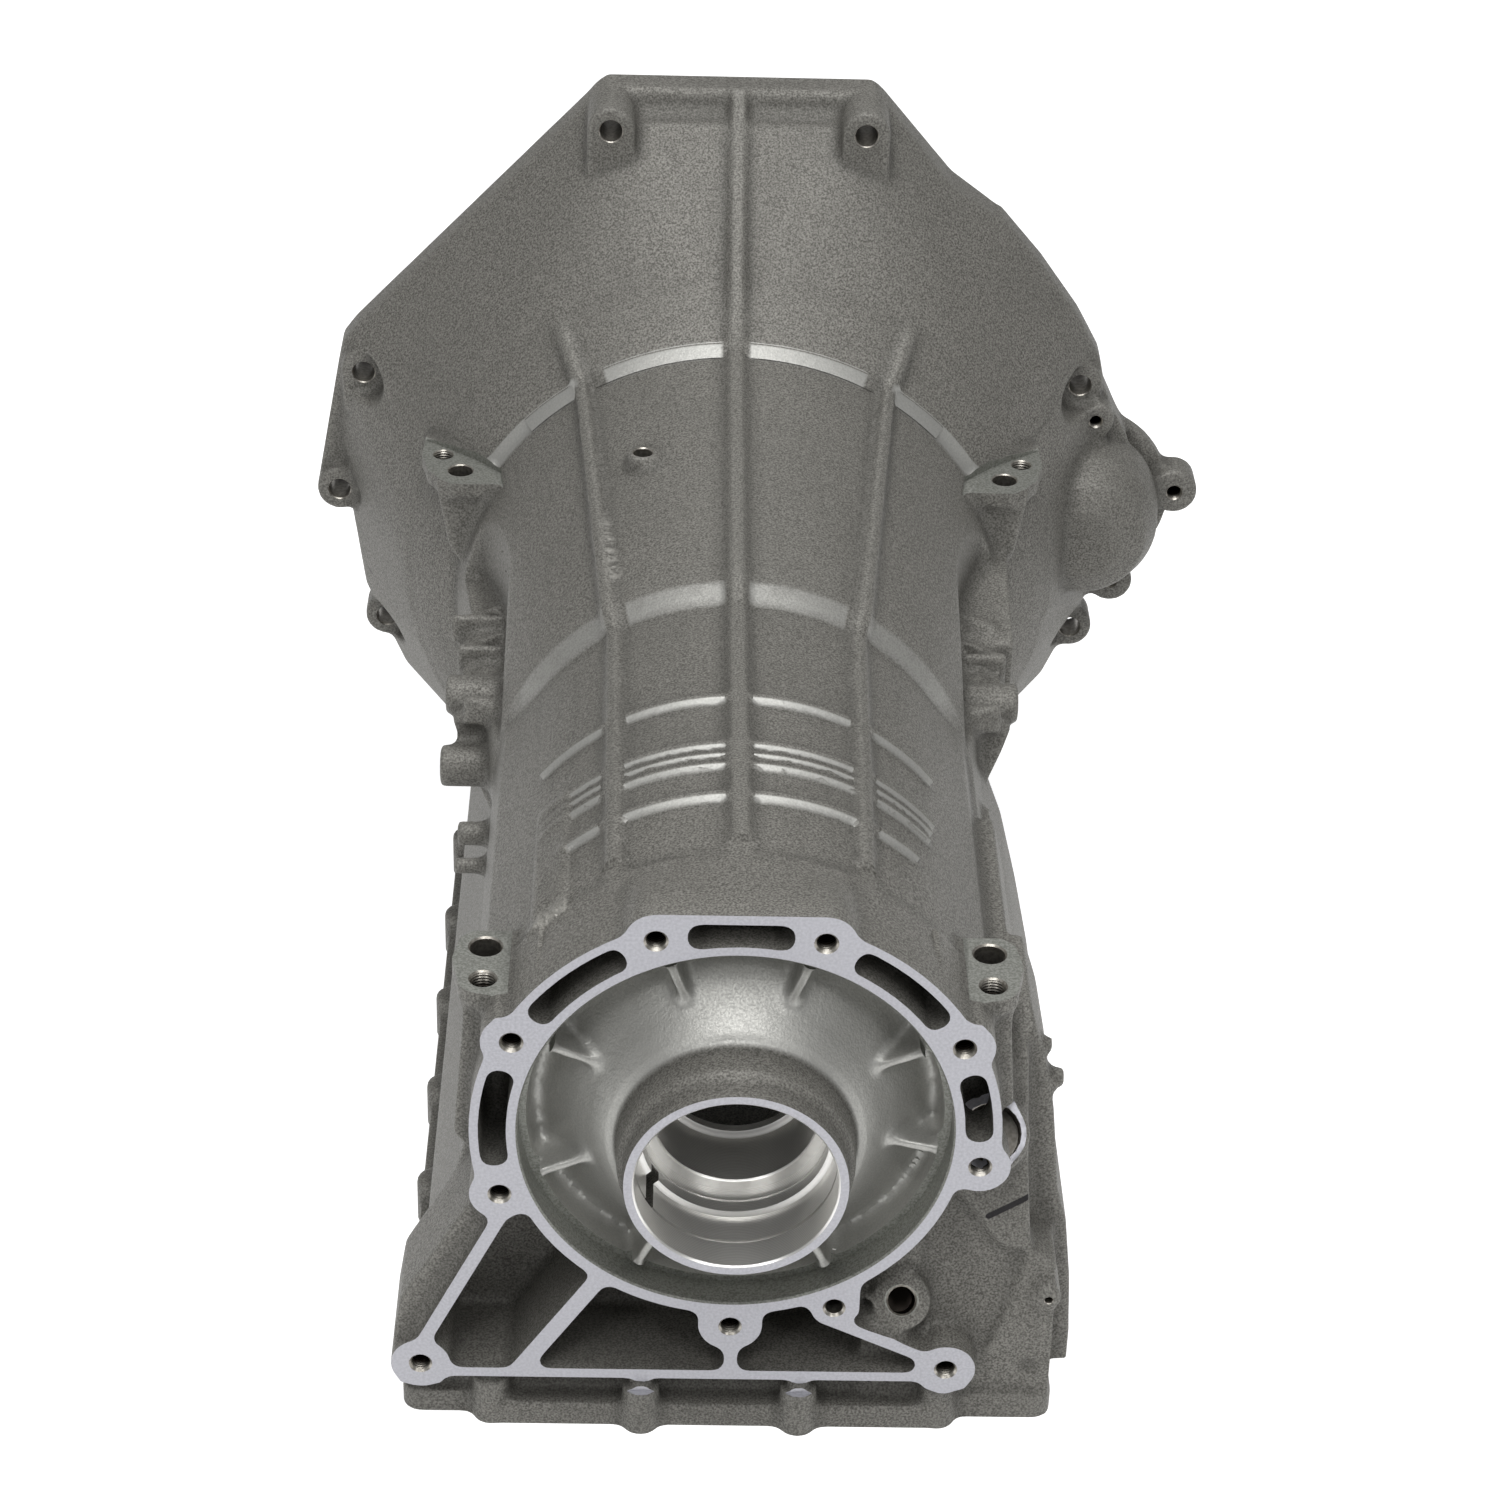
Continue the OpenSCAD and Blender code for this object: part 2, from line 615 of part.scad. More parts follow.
// Block behind the right of the rear face, with a leaning back wall
module right_block() {
    difference() {
        intersection() {
            union() {
                plate(12, 60) polygon([[60, pan_z], [60, 22], [129, 22], [132, -42], [135, -80], [147, -86],
                                       [147, pan_z]]);
                plate(52, 116) polygon([[60, pan_z], [60, 28], [131, 28], [138, 6], [144, -24], [149, -70],
                                        [154, -88], [158, -122], [160, -154], [160, pan_z]]);
                plate(114, 212) polygon([[60, pan_z], [60, 28], [124, 28], [129, 6], [134, -24], [147, -70],
                                         [154, -95], [158, -122], [160, -154], [160, pan_z]]);
                plate(210, 326) polygon([[60, pan_z], [60, 20], [118, 20], [124, 0], [139, -40], [149, -80],
                                         [158, -122], [160, -154], [160, pan_z]]);
            }
            lean_side(0);
        }
        // Sunk field with the filler port
        intersection() {
            plate(0, 60) polygon([[84, -56], [99, -49], [121, -78], [134, -80], [129, -103], [117, -133],
                                  [107, -157], [84, -157]]);
            difference() {
                fin(reach) polygon([[0, pan_z], [0, 30], [60, 30], [60, pan_z]]);
                lean_side(field_depth);
            }
        }
    }
    along_y(pin_lug[0], pin_lug[1], lean_y(pin_lug[1]) - 3, 40, 5.8);
    along_x(60, 7, 120, 141.5, 3.4);
    along_x(60, -11, 120, 148, 4.4);
}

// Everything ahead of the leaning back wall, set back by a depth
module lean_side(depth) {
    fin(reach) polygon([[lean_y(pan_z) + depth, pan_z], [lean_y(lean_low_z) + depth, lean_low_z],
                      [lean_y(14) + depth, 14], [64, 28], [326, 28], [326, pan_z]]);
}

function lean_y(z) = z < lean_low_z ? lean_start_y : lean_start_y + (z - lean_low_z) * lean_slope;

// Mounting pads on the shoulders of the barrel
module rear_pad(side) {
    mirror([side < 0 ? 1 : 0, 0, 0]) {
        translate([0, 0, rear_pad_z - pad_t]) linear_extrude(pad_t) {
            polygon([[95.5, 66], [95.5, 40], [101, 22], [rear_pad_x + 10, 24], [rear_pad_x + 14.5, 44],
                     [rear_pad_x + 12, 60], [rear_pad_x + 6, 66]]);
            translate([rear_pad_x, rear_pad_y[1]]) circle(r = 11.4);
        }
        plate(24, 64) polygon([[84, 40], [96, rear_pad_z - lap], [rear_pad_x + 9, rear_pad_z - lap],
                               [rear_pad_x + 9, 40], [124, -20], [108, -40]]);
    }
}

module front_pad(side) {
    mirror([side < 0 ? 1 : 0, 0, 0]) {
        translate([0, 0, front_pad_z - pad_t]) linear_extrude(pad_t) {
            translate([0, front_pad_y])
                polygon([[126, 0], [148, 0], [161, 15], [165, 35], [164, 53], [136, 37], [126, 15]]);
            translate(front_pad_small) circle(r = 11.5);
        }
        plate(front_pad_y + 3, front_pad_y + 45)
            polygon([[100, 20], [128, front_pad_z - lap], [156, front_pad_z - lap], [150, 40], [132, 10]]);
    }
}

// A blind hole sunk from a height
module down_hole(place, top, depth, r) {
    translate([place[0], place[1], top - depth]) cylinder(h = depth + lap, r = r);
}

module pad_holes() {
    for (s = [-1, 1]) {
        down_hole([s * rear_pad_x, rear_pad_y[0]], rear_pad_z, 24, 7);
        down_hole([s * rear_pad_x, rear_pad_y[1]], rear_pad_z, 20, 5.6);
        down_hole([s * front_pad_big[0], front_pad_big[1]], front_pad_z, 22, 6.4);
        down_hole([s * front_pad_small[0], front_pad_small[1]], front_pad_z, 18, 5);
    }
}

// Cross lug on each side, ahead of the middle, with bracing ribs on its top
module side_lug(side) {
    mirror([side < 0 ? 1 : 0, 0, 0]) {
        plate(lug_y - 17, lug_y + 66)
            polygon([[88, 24], [136, 24], [140, 18], [136, 4], [124, -30], [112, -60], [80, -60]]);
        along_x(lug_y, lug_z, lug_root_x, 144, lug_r);
        // Cross bars, with their station and reach
        for (b = [[lug_y - 19, 134], [lug_y + 31, 140], [lug_y + 62, side < 0 ? 145 : 120]])
            translate([lug_root_x, b[0] - lug_bar_w / 2, lug_z - 5]) cube([b[1] - lug_root_x, lug_bar_w, 15]);
        // Slanted braces between the bars
        for (r = [[[108, 86], [136, 62]], [[108, 56], [138, 32]], [[108, -28], [133, -19]]])
            translate([0, lug_y, lug_z - 3]) linear_extrude(12) web_line(r[0], r[1], lug_bar_w - 1);
    }
}

// Field that rises from the right lug to the bell
module lug_field() {
    translate([field_x, 0, 0]) fin(field_w)
        polygon([[field_y, -20], [field_y, 26], [field_y + 12, 30], [bell_root_y - 19, 41],
                 [bell_root_y - 3, 41], [bell_root_y - 3, -20]]);
}

// Round stubs that stand out of the left side, and ports on the right
module side_stubs() {
    for (t = left_stubs) along_x(t[0], t[1], -t[2], -stub_root_x, t[3]);
    for (t = right_stubs) along_x(t[0], t[1], stub_root_x, t[2], t[3]);
}

module side_stub_holes() {
    for (t = left_stubs) along_x(t[0], t[1], -t[2] - lap, -t[2] + t[5], t[4]);
    for (t = right_stubs) along_x(t[0], t[1], t[2] - t[5], t[2] + lap, t[4]);
}

// Ports on the leaning wall at the right of the rear face
module tilted_port(p, r, h, tilt) {
    translate(p) rotate([tilt, 0, 0]) translate([0, 0, -h]) cylinder(h = h, r = r);
}

module rear_ports() {
    tilted_port(low_port, 13.4, 24, low_port_tilt);
    tilted_port(high_port, 17.4, 30, high_port_tilt);
}

module rear_port_holes() {
    tilted_port(low_port + [0, -1, 0.8], 6.2, 26, low_port_tilt);
    tilted_port(high_port + [0, -0.7, 0.7], 14.2, 22, high_port_tilt);
    along_y(pin_lug[0], pin_lug[1], lean_y(pin_lug[1]) - 4, lean_y(pin_lug[1]) + 12, 1.8);
    along_y(137, -142, lean_start_y - 3, lean_start_y + 2, 5.5);
}

// Vent boss and a flat patch on the barrel
module barrel_details() {
    translate([vent[0], vent[1], vent_boss_z]) cylinder(h = vent_boss_h, r = vent_boss_r);
    rotate([0, -patch_angle, 0]) translate([-patch_w / 2, patch_y[0], barrel_r - wall])
        cube([patch_w, patch_y[1] - patch_y[0], wall + patch_rise]);
}

// Threads of the rear face
module rear_threads() {
    for (a = concat(top_bolts, side_bolts, [bottom_bolt])) {
        p = on_circle(rear_circle_r, a);
        along_y(p[0], p[1], -lap, rear_thread_depth, rear_thread_r);
    }
    dowel = on_circle(rear_circle_r - 1, dowel_angle);
    along_y(dowel[0], dowel[1], -lap, 18, dowel_r);
    for (x = [left_foot_x, right_foot_x]) along_y(x, foot_z, -lap, rear_thread_depth, rear_thread_r);
}

// Seat of the front pump, with its screw holes
module pump_cuts() {
    along_y(0, 0, pump_seat_y[0] - lap, pump_seat_y[1] + lap, pump_bore_r);
    for (i = [0 : pump_screws - 1]) {
        p = on_circle(pump_circle_r, (i + 0.5) * 360 / pump_screws);
        along_y(p[0], p[1], pump_seat_y[0] - lap, pump_seat_y[1] + lap, 3.4);
    }
}

module case_stock() {
    difference() {
        outer_skin();
        // Hollow under the top lip of the bell
        along_x(cove_y, cove_z, -cove_half_w, cove_half_w, cove_r);
    }
    rear_stock();
    pan_box();
    bell_rim();
    right_block();
    for (s = [-1, 1]) {
        rear_pad(s);
        front_pad(s);
        side_lug(s);
    }
    lug_field();
    side_stubs();
    rear_ports();
    barrel_details();
    long_ribs();
    cross_bands();
}

module case() {
    color("#6e6c66") difference() {
        union() {
            difference() {
                case_stock();
                bowl_cut();
                core_pockets();
                barrel_cavity();
                bell_cavity();
                pan_cavity();
                nose_pocket();
                plate(dome_end_y, face_y + lap) polygon(rim_notch);
                translate([-bell_r, rail_y[1] + 4, bell_foot_z - reach]) cube([2 * bell_r, reach, reach]);
            }
            hub_stock();
            bowl_gussets();
            intersection() {
                outer_skin();
                for (b = side_bosses) along_y(b[0], b[1], b[2] - 9, face_y - 3, bell_boss_r + 4);
            }
        }
        hub_bores();
        rear_threads();
        bell_holes();
        pump_cuts();
        pad_holes();
        side_stub_holes();
        rear_port_holes();
        pan_threads();
        translate([vent[0], vent[1], vent_boss_z - 10]) cylinder(h = vent_boss_h + 20, r = vent_r);
    }
}

case();
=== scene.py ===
"""Automatic gearbox case: one bare aluminium die casting with machined faces and bores."""

import math

import bmesh
import bpy
import numpy as np
from mathutils import Matrix, Vector
from mathutils.kdtree import KDTree


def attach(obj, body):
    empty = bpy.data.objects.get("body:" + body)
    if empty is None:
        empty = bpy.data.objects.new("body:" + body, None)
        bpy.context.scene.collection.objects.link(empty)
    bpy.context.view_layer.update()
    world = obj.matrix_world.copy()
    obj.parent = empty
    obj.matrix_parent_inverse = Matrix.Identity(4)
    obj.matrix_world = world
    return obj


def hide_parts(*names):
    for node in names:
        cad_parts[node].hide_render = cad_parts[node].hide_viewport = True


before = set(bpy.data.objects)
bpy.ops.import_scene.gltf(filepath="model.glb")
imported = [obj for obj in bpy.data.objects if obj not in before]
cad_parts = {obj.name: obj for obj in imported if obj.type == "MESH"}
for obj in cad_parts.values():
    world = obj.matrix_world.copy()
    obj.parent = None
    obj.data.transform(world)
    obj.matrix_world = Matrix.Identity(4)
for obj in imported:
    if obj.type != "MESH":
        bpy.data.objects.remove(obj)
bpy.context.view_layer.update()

# Raw casting. The real case is one die casting in aluminium: bell, barrel, pan box and hub come out
# of the die together. At this stage it has stock on the faces that are milled later, is solid where
# holes are drilled, and every edge and inside corner is round.
mm = 0.001
stock, pad_stock = 3.0, 2.0
milled_rear_y, hub_end_y, bell_face_y, pan_face_z = 0.0, -35.4, 592.0, -170.0
low_pad_z, low_pad_x, low_pad_end_y = 60.0, (98, 126), 68
high_pad_z, high_pad_x, high_pad_y = 78.0, 124, (445, 502)
hub_chamfer = 0.9
cast_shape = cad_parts["case"].data.copy()
casting = bpy.data.objects.new("casting", cast_shape)
bpy.context.scene.collection.objects.link(casting)

# A point that is nearer to a face than this lies on it
touch = 0.1
points = np.empty(len(cast_shape.vertices) * 3)
cast_shape.vertices.foreach_get("co", points)
points = points.reshape(-1, 3) / mm
x, y, z = points.T
points[np.abs(y - milled_rear_y) < 2 * touch, 1] -= stock
points[y < hub_end_y + hub_chamfer, 1] -= stock
points[y > bell_face_y - touch, 1] += stock
points[z < pan_face_z + touch, 2] -= stock
on_low_pad = (np.abs(x) > low_pad_x[0]) & (np.abs(x) < low_pad_x[1]) & (y < low_pad_end_y)
on_low_pad &= np.abs(z - low_pad_z) < 2 * touch
on_high_pad = (np.abs(x) > high_pad_x) & (y > high_pad_y[0]) & (y < high_pad_y[1])
on_high_pad &= np.abs(z - high_pad_z) < 2 * touch
points[on_low_pad | on_high_pad, 2] += pad_stock
cast_shape.vertices.foreach_set("co", (points * mm).ravel())

BACK, AHEAD = Vector((0, -1, 0)), Vector((0, 1, 0))
DOWN, UP = Vector((0, 0, -1)), Vector((0, 0, 1))
LEFT, RIGHT = Vector((-1, 0, 0)), Vector((1, 0, 0))
AXIS = (0, 0, 0)


def leaning(tilt):
    """Outward direction of the leaning wall at the right of the rear face."""
    return Vector((0, -math.sin(math.radians(tilt)), math.cos(math.radians(tilt))))


def on_circle(radius, angle, along):
    """A point on a circle round the shaft, at an angle from the right-hand side."""
    turn = math.radians(angle)
    return radius * math.cos(turn), along, radius * math.sin(turn)


# Each hole is the middle of its mouth, the way out of it, radius, depth, chamfer and thread pitch
m10, m8, plain = 1.5, 1.25, 0
rear_circle, rear_thread = 108, (4.3, 26, 1.0, m10)
holes = []
for angle in (70.7, 109.3, 26.5, 153.5, 198.4, 351.8, 270):
    holes.append((on_circle(rear_circle, angle, milled_rear_y), BACK, *rear_thread))
dowel_circle, dowel_angle = 107, -64.4
holes.append((on_circle(dowel_circle, dowel_angle, milled_rear_y), BACK, 4.0, 18, 1.2, plain))
foot_z = -132
for foot_x in (-139, 98):
    holes.append(((foot_x, milled_rear_y, foot_z), BACK, *rear_thread))

# The mounting pads and the top of the bell are the same at both sides
for side in (-1, 1):
    holes += [
        ((side * 110, 54, low_pad_z), UP, 7.0, 24, 0.8, plain),
        ((side * 110, 30, low_pad_z), UP, 5.6, 20, 0.8, m10),
        ((side * 143.4, 462.5, high_pad_z), UP, 6.4, 22, 0.6, plain),
        ((side * 153.5, 480, high_pad_z), UP, 5.0, 18, 0.6, m10),
        ((side * 67, 545, 236), BACK, 6.0, 59, 0.5, plain),
    ]

# The engine bolts run through the rim of the bell, and the starter is held by three threads
engine_bolt_r, past_rim_y = 6.0, 604
for hole_x, mouth_y, hole_z in ((-202, 563, 84.6), (191.6, 563, 84.6), (-218, 568, 9.3),
                                (-193.8, 573, -74.8), (197.9, 573, -74.8)):
    holes.append(((hole_x, mouth_y, hole_z), BACK, engine_bolt_r, past_rim_y - mouth_y, 0.5, plain))
for mouth, hole_r in (((201, 556, 66), 3.3), ((250.8, 573, 13.6), 4), ((219.3, 573, -44.7), 3.3)):
    holes.append((mouth, BACK, hole_r, 16, 0.7, m8))

# Stubs at the left, ports at the right, the small hole in the rear wall and the vent
low_port, low_port_tilt = (77, 9, -99.2), 52
high_port, high_port_tilt = (113, 20.3, -12.3), 46
holes += [
    ((-145.5, 300, -3), LEFT, 6.0, 19.5, 0.8, plain),
    ((-133.5, 240, -4), LEFT, 3.2, 15.5, 0.5, plain),
    ((-133.5, 212, -4), LEFT, 1.6, 6, 0.3, plain),
    ((126, 250, -2), RIGHT, 6.0, 14, 0.8, plain),
    ((131, 216, -14), RIGHT, 7.0, 13, 0.8, plain),
    (low_port, leaning(low_port_tilt), 6.2, 26, 1.2, m10),
    (high_port, leaning(high_port_tilt), 12.9, 13, 0.8, plain),
    ((144, 14.6, -103), BACK, 1.8, 12, 0.4, plain),
    ((-47, 384, 131.5), UP, 4.8, 31.5, 0.6, plain),
]

# Threads for the oil pan in its rail, and screw holes round the pump seat
pan_thread = (3.4, 20, 0.7, m8)
for pan_x, pan_y in ((-108, 11), (-39.7, 5), (32, 5), (96, 11)):
    holes.append(((pan_x, pan_y, pan_face_z), DOWN, *pan_thread))
pan_side_x, pan_first_y, pan_pitch, pan_side_count = 142.5, 75, 76, 6
for step in range(pan_side_count):
    for side in (-1, 1):
        middle = (side * pan_side_x, pan_first_y + pan_pitch * step, pan_face_z)
        holes.append((middle, DOWN, *pan_thread))
pump_circle, pump_seat_y, pump_screws = 118, 458, 8
for step in range(pump_screws):
    middle = on_circle(pump_circle, (step + 0.5) * 360 / pump_screws, pump_seat_y)
    holes.append((middle, AHEAD, 3.4, 15, 0.5, plain))


def turned_shape(name, profile, middle, out, facets, slot, start=0.0, end=360.0):
    """A closed solid turned about the line through middle. The profile holds (radius, distance
    along out) in millimetres. A radius of 0 closes it on the axis, and start and end are the
    angles of a part turn."""
    tilt = UP.rotation_difference(out).to_matrix()
    whole_turn = end - start >= 360
    steps = facets if whole_turn else facets + 1
    rings, coords, faces = [], [], []
    for radius, along in profile:
        first = len(coords)
        count = 1 if radius == 0 else steps
        for i in range(count):
            a = math.radians(start + (end - start) * i / facets)
            local = Vector((radius * math.cos(a), radius * math.sin(a), along))
            coords.append((Vector(middle) + tilt @ local) * mm)
        rings.append((first, count))
    for (one, n_one), (two, n_two) in zip(rings, rings[1:] + rings[:1]):
        if n_one == 1 and n_two == 1:
            continue
        for i in range(facets):
            j = (i + 1) % steps
            if n_one == 1:
                faces.append((one, two + i, two + j))
            elif n_two == 1:
                faces.append((one + i, two, one + j))
            else:
                faces.append((one + i, two + i, two + j, one + j))
    if not whole_turn:
        faces += [tuple(first + i for first, count in rings) for i in (0, facets)]
    shape = bpy.data.meshes.new(name)
    shape.from_pydata(coords, [], faces)
    shape.polygons.foreach_set("material_index", [slot] * len(faces))
    shape.update()
    return shape


def ring_shape(name, inner, outer, start, end, facets, slot=0):
    """A plain ring round the shaft. An inner radius of 0 makes it a drum."""
    profile = [(inner, start), (outer, start), (outer, end), (inner, end)]
    return turned_shape(name, profile, AXIS, AHEAD, facets, slot)


def joined(name, shapes):
    """One object from many closed meshes, with all faces turned outward."""
    coords, faces, slots, first = [], [], [], 0
    for shape in shapes:
        coords += [tuple(v.co) for v in shape.vertices]
        faces += [tuple(first + i for i in p.vertices) for p in shape.polygons]
        slots += [p.material_index for p in shape.polygons]
        first = len(coords)
    whole = bpy.data.meshes.new(name)
    whole.from_pydata(coords, [], faces)
    whole.polygons.foreach_set("material_index", slots)
    loose = bmesh.new()
    loose.from_mesh(whole)
    bmesh.ops.recalc_face_normals(loose, faces=loose.faces)
    loose.to_mesh(whole)
    loose.free()
    piece = bpy.data.objects.new(name, whole)
    bpy.context.scene.collection.objects.link(piece)
    return piece


def bake_modifier(piece, kind, **settings):
    """Adds one modifier and keeps its result as the piece's mesh."""
    modifier = piece.modifiers.new(kind, kind)
    for key, value in settings.items():
        setattr(modifier, key, value)
    graph = bpy.context.evaluated_depsgraph_get()
    result = bpy.data.meshes.new_from_object(piece.evaluated_get(graph))
    piece.modifiers.clear()
    piece.data = result


plug_wall, plug_past, plug_facets = 0.9, 1, 24


def plug(middle, out, r, depth, proud):
    """Solid metal where a hole is drilled later."""
    wide, low = r + plug_wall, -depth - plug_past
    profile = [(0, proud), (wide, proud), (wide, low), (0, low)]
    return turned_shape("plug", profile, middle, out, plug_facets, 0)


skin_proud = 0.4
plugs = []
for middle, out, r, depth, chamfer, pitch in holes:
    in_milled_face = middle[1] == milled_rear_y or middle[2] in (low_pad_z, high_pad_z, pan_face_z)
    plugs.append(plug(middle, out, r, depth, stock if in_milled_face else skin_proud))
# The boss of the high port is solid, and so is the hub. The pilot bore and the pump seat have stock.
port_boss_r, port_boss_depth = 14.2, 22
plugs.append(plug(high_port, leaning(high_port_tilt), port_boss_r, port_boss_depth, skin_proud))
hub_r, hub_inner_y, hub_facets = 46, 49.5, 64
pilot_stock_r, pilot_stock_y = (92, 97), 14
pump_stock_r, pump_stock_y, stock_facets = (98, 104), (443.5, 457.5), 96
plugs += [
    ring_shape("hub", 0, hub_r, hub_end_y - stock, hub_inner_y, hub_facets),
    ring_shape("pilot", *pilot_stock_r, milled_rear_y - stock, pilot_stock_y, stock_facets),
    ring_shape("pump", *pump_stock_r, *pump_stock_y, stock_facets),
]
filled = joined("filled", [cast_shape] + plugs)
casting.data = filled.data
bpy.data.objects.remove(filled)


def offset(piece, distance):
    """Moves every point along its normal."""
    co = np.empty(len(piece.data.vertices) * 3)
    no = np.empty(len(piece.data.vertices) * 3)
    piece.data.vertices.foreach_get("co", co)
    piece.data.vertex_normals.foreach_get("vector", no)
    piece.data.vertices.foreach_set("co", co + no * distance)
    piece.data.update()


# Grown and shrunk again, which fills each inside corner with a fillet, then smoothed
voxel, fillet = 1.4 * mm, 2.2 * mm
grown_passes, final_passes = 2, 7
bake_modifier(casting, "REMESH", mode="VOXEL", voxel_size=voxel)
offset(casting, fillet)
bake_modifier(casting, "REMESH", mode="VOXEL", voxel_size=voxel)
bake_modifier(casting, "SMOOTH", factor=0.5, iterations=grown_passes)
offset(casting, -fillet)
bake_modifier(casting, "SMOOTH", factor=0.5, iterations=final_passes)

dense = casting.data
count = len(dense.vertices)
co = np.empty(count * 3)
no = np.empty(count * 3)
ends = np.empty(len(dense.edges) * 2, dtype=np.int64)
dense.vertices.foreach_get("co", co)
dense.vertex_normals.foreach_get("vector", no)
dense.edges.foreach_get("vertices", ends)
co, no, ends = co.reshape(-1, 3) / mm, no.reshape(-1, 3), ends.reshape(-1, 2)
both_ways = np.concatenate([ends, ends[:, ::-1]])
neighbours = np.maximum(np.bincount(both_ways[:, 0], minlength=count), 1)


def around(values):
    """Mean of each point's neighbours."""
    return np.bincount(both_ways[:, 0], weights=values[both_ways[:, 1]], minlength=count) / neighbours


def drift_of(places):
    """The way from each point to the middle of its neighbours."""
    return np.stack([around(places[:, i]) for i in range(3)], axis=1) - places


def smoothstep(values, low, high):
    """0 below low, 1 above high, and a soft run between them."""
    t = np.clip((values - low) / (high - low), 0, 1)
    return t * t * (3 - 2 * t)


# How far each point stands proud of its neighbours
bend = -(drift_of(co) * no).sum(axis=1)
bend_passes = 4
for _ in range(bend_passes):
    bend = 0.5 * bend + 0.5 * around(bend)

# Open walls are faired, so that light runs over them without ripples
open_bend, corner_bend = 0.004, 0.012
fairing_passes, fairing_pull = 14, 0.6
calm = 1 - smoothstep(np.abs(bend), open_bend, corner_bend)
for _ in range(fairing_passes):
    co += fairing_pull * calm[:, None] * (drift_of(co) * no).sum(axis=1)[:, None] * no

# The valley between the bowl's wall and its cone is rounded once more, apart from the gussets
valley_r, valley_y, valley_passes = (81, 91.3), (20, 32), 12
gusset_pitch, gusset_room = 45, 4
x, y, z = co.T
out_r = np.hypot(x, z)
from_gusset = np.abs(np.degrees(np.arctan2(z, x)) % gusset_pitch - gusset_pitch / 2)
in_valley = (out_r > valley_r[0]) & (out_r < valley_r[1]) & (y > valley_y[0]) & (y < valley_y[1])
in_valley &= from_gusset > gusset_room
for _ in range(valley_passes):
    co += 0.5 * in_valley[:, None] * drift_of(co)

# The flange behind the two upper bosses slopes down to the barrel
barrel_r = 113
flange_y, flange_half_w, flange_low_z, flange_past = (8, 52), 86, 60, 8
flange_height_left = 0.25 / 6
x, y, z = co.T
out_r = np.hypot(x, z)
on_flange = (np.abs(x) < flange_half_w) & (z > flange_low_z) & (out_r > barrel_r)
on_flange &= (y > flange_y[0]) & (y < flange_y[1] + flange_past)
sink = smoothstep(y, *flange_y) * on_flange
new_r = out_r + (barrel_r + flange_height_left * (out_r - barrel_r) - out_r) * sink
co[:, 0] *= new_r / out_r
co[:, 2] *= new_r / out_r

# Flat patch at the left of the barrel, with a torn lower corner
patch_angle, patch_half_w, patch_y, patch_rise = -47, 11, (46, 144), 1.1
patch_side, patch_end, patch_min_r = (0.6, 0.9), 1, 100
torn_y, torn_from, torn_height = (50, 62), -6, 1.6
x, y, z = co.T
out_r = np.hypot(x, z)
across = out_r * np.radians(np.degrees(np.arctan2(x, z)) - patch_angle)
on_patch = 1 - smoothstep(np.abs(across), patch_half_w - patch_side[0], patch_half_w + patch_side[1])
on_patch *= smoothstep(y, patch_y[0] - patch_end, patch_y[0] + patch_end)
on_patch *= 1 - smoothstep(y, patch_y[1] - patch_end, patch_y[1] + patch_end)
on_patch *= (out_r > patch_min_r) & (z > 0)
luck = np.random.default_rng(7).random(count)
torn = on_patch * (1 - smoothstep(y, *torn_y)) * (across > torn_from)
co += no * (patch_rise * on_patch + torn * (luck - 0.5) * torn_height)[:, None]


def near_line(start, end, reach):
    """1 on the line between two points, and 0 from reach away."""
    start, end = np.array(start), np.array(end)
    run = end - start
    along = np.clip((co - start) @ run / (run @ run), 0, 1)
    aside = np.linalg.norm(co - start - along[:, None] * run, axis=1)
    return 1 - smoothstep(aside, reach / 2, reach)


# Rough metal beside the left rib, where the die is worn
rough_streak = near_line((-66, 352, 111.5), (-59, 298, 107.4), 4)
rough_middle, rough_height, rough_share = 0.4, 1.1, 0.45
co += no * (rough_streak * (luck - rough_middle) * rough_height)[:, None]
rough_metal = np.maximum(rough_streak * (luck > rough_share), torn)

dense.vertices.foreach_set("co", (co * mm).ravel())
dense.update()
cast_points = KDTree(count)
for i, p in enumerate((co * mm).tolist()):
    cast_points.insert(p, i)
cast_points.balance()
casting_faces = 136000
bake_modifier(casting, "DECIMATE", ratio=casting_faces / (2 * len(dense.polygons)))

# The five finishes that the case has when it is done, in the order of its material slots
CAST, MILLED, SKIMMED, TURNED, DRILLED = range(5)
casting.data.materials.clear()
for finish_name in ("cast_skin", "milled_face", "skimmed_pad", "turned_bore", "drilled_hole"):
    casting.data.materials.append(bpy.data.materials.new(finish_name))


# Bands, arc and flecks. They are raised by grooves and pits in the same die, so they are fused to the
# skin: bands across the barrel between the long ribs, a thin arc round the bell's root, and small
# beads of metal from a worn patch of the die at the left.
def fuse(shapes):
    """Adds closed meshes to the casting."""
    extra = joined("extra", shapes)
    bake_modifier(casting, "BOOLEAN", operation="UNION", solver="MANIFOLD", object=extra)
    bpy.data.objects.remove(extra)


# Turned shapes start at the right-hand side, and these angles are counted from the top
from_top = -90
root, band_facets = 2, 28
band_spans = ((-52, -32.6), (-26.6, -3.2), (3.2, 26.6), (32.6, 52))
raised = []
for band_y, band_w, band_h, widest in ((95, 5, 2.6, 44), (120, 3.4, 2.2, 49), (128, 3, 2.2, 50),
                                       (137, 5.4, 2.4, 51), (177, 5, 2.6, 52)):
    rear, front, top = band_y - band_w / 2, band_y + band_w / 2, barrel_r + band_h
    profile = [(barrel_r - root, rear - 1.6), (barrel_r, rear - 0.7), (top - 0.4, rear + 0.9),
               (top, rear + 1.5), (top, front - 0.6), (barrel_r - root, front + 0.5)]
    for start, end in band_spans:
        start, end = max(start, -widest) + from_top, min(end, widest) + from_top
        raised.append(turned_shape("band", profile, AXIS, AHEAD, band_facets, CAST, start, end))
fuse(raised)

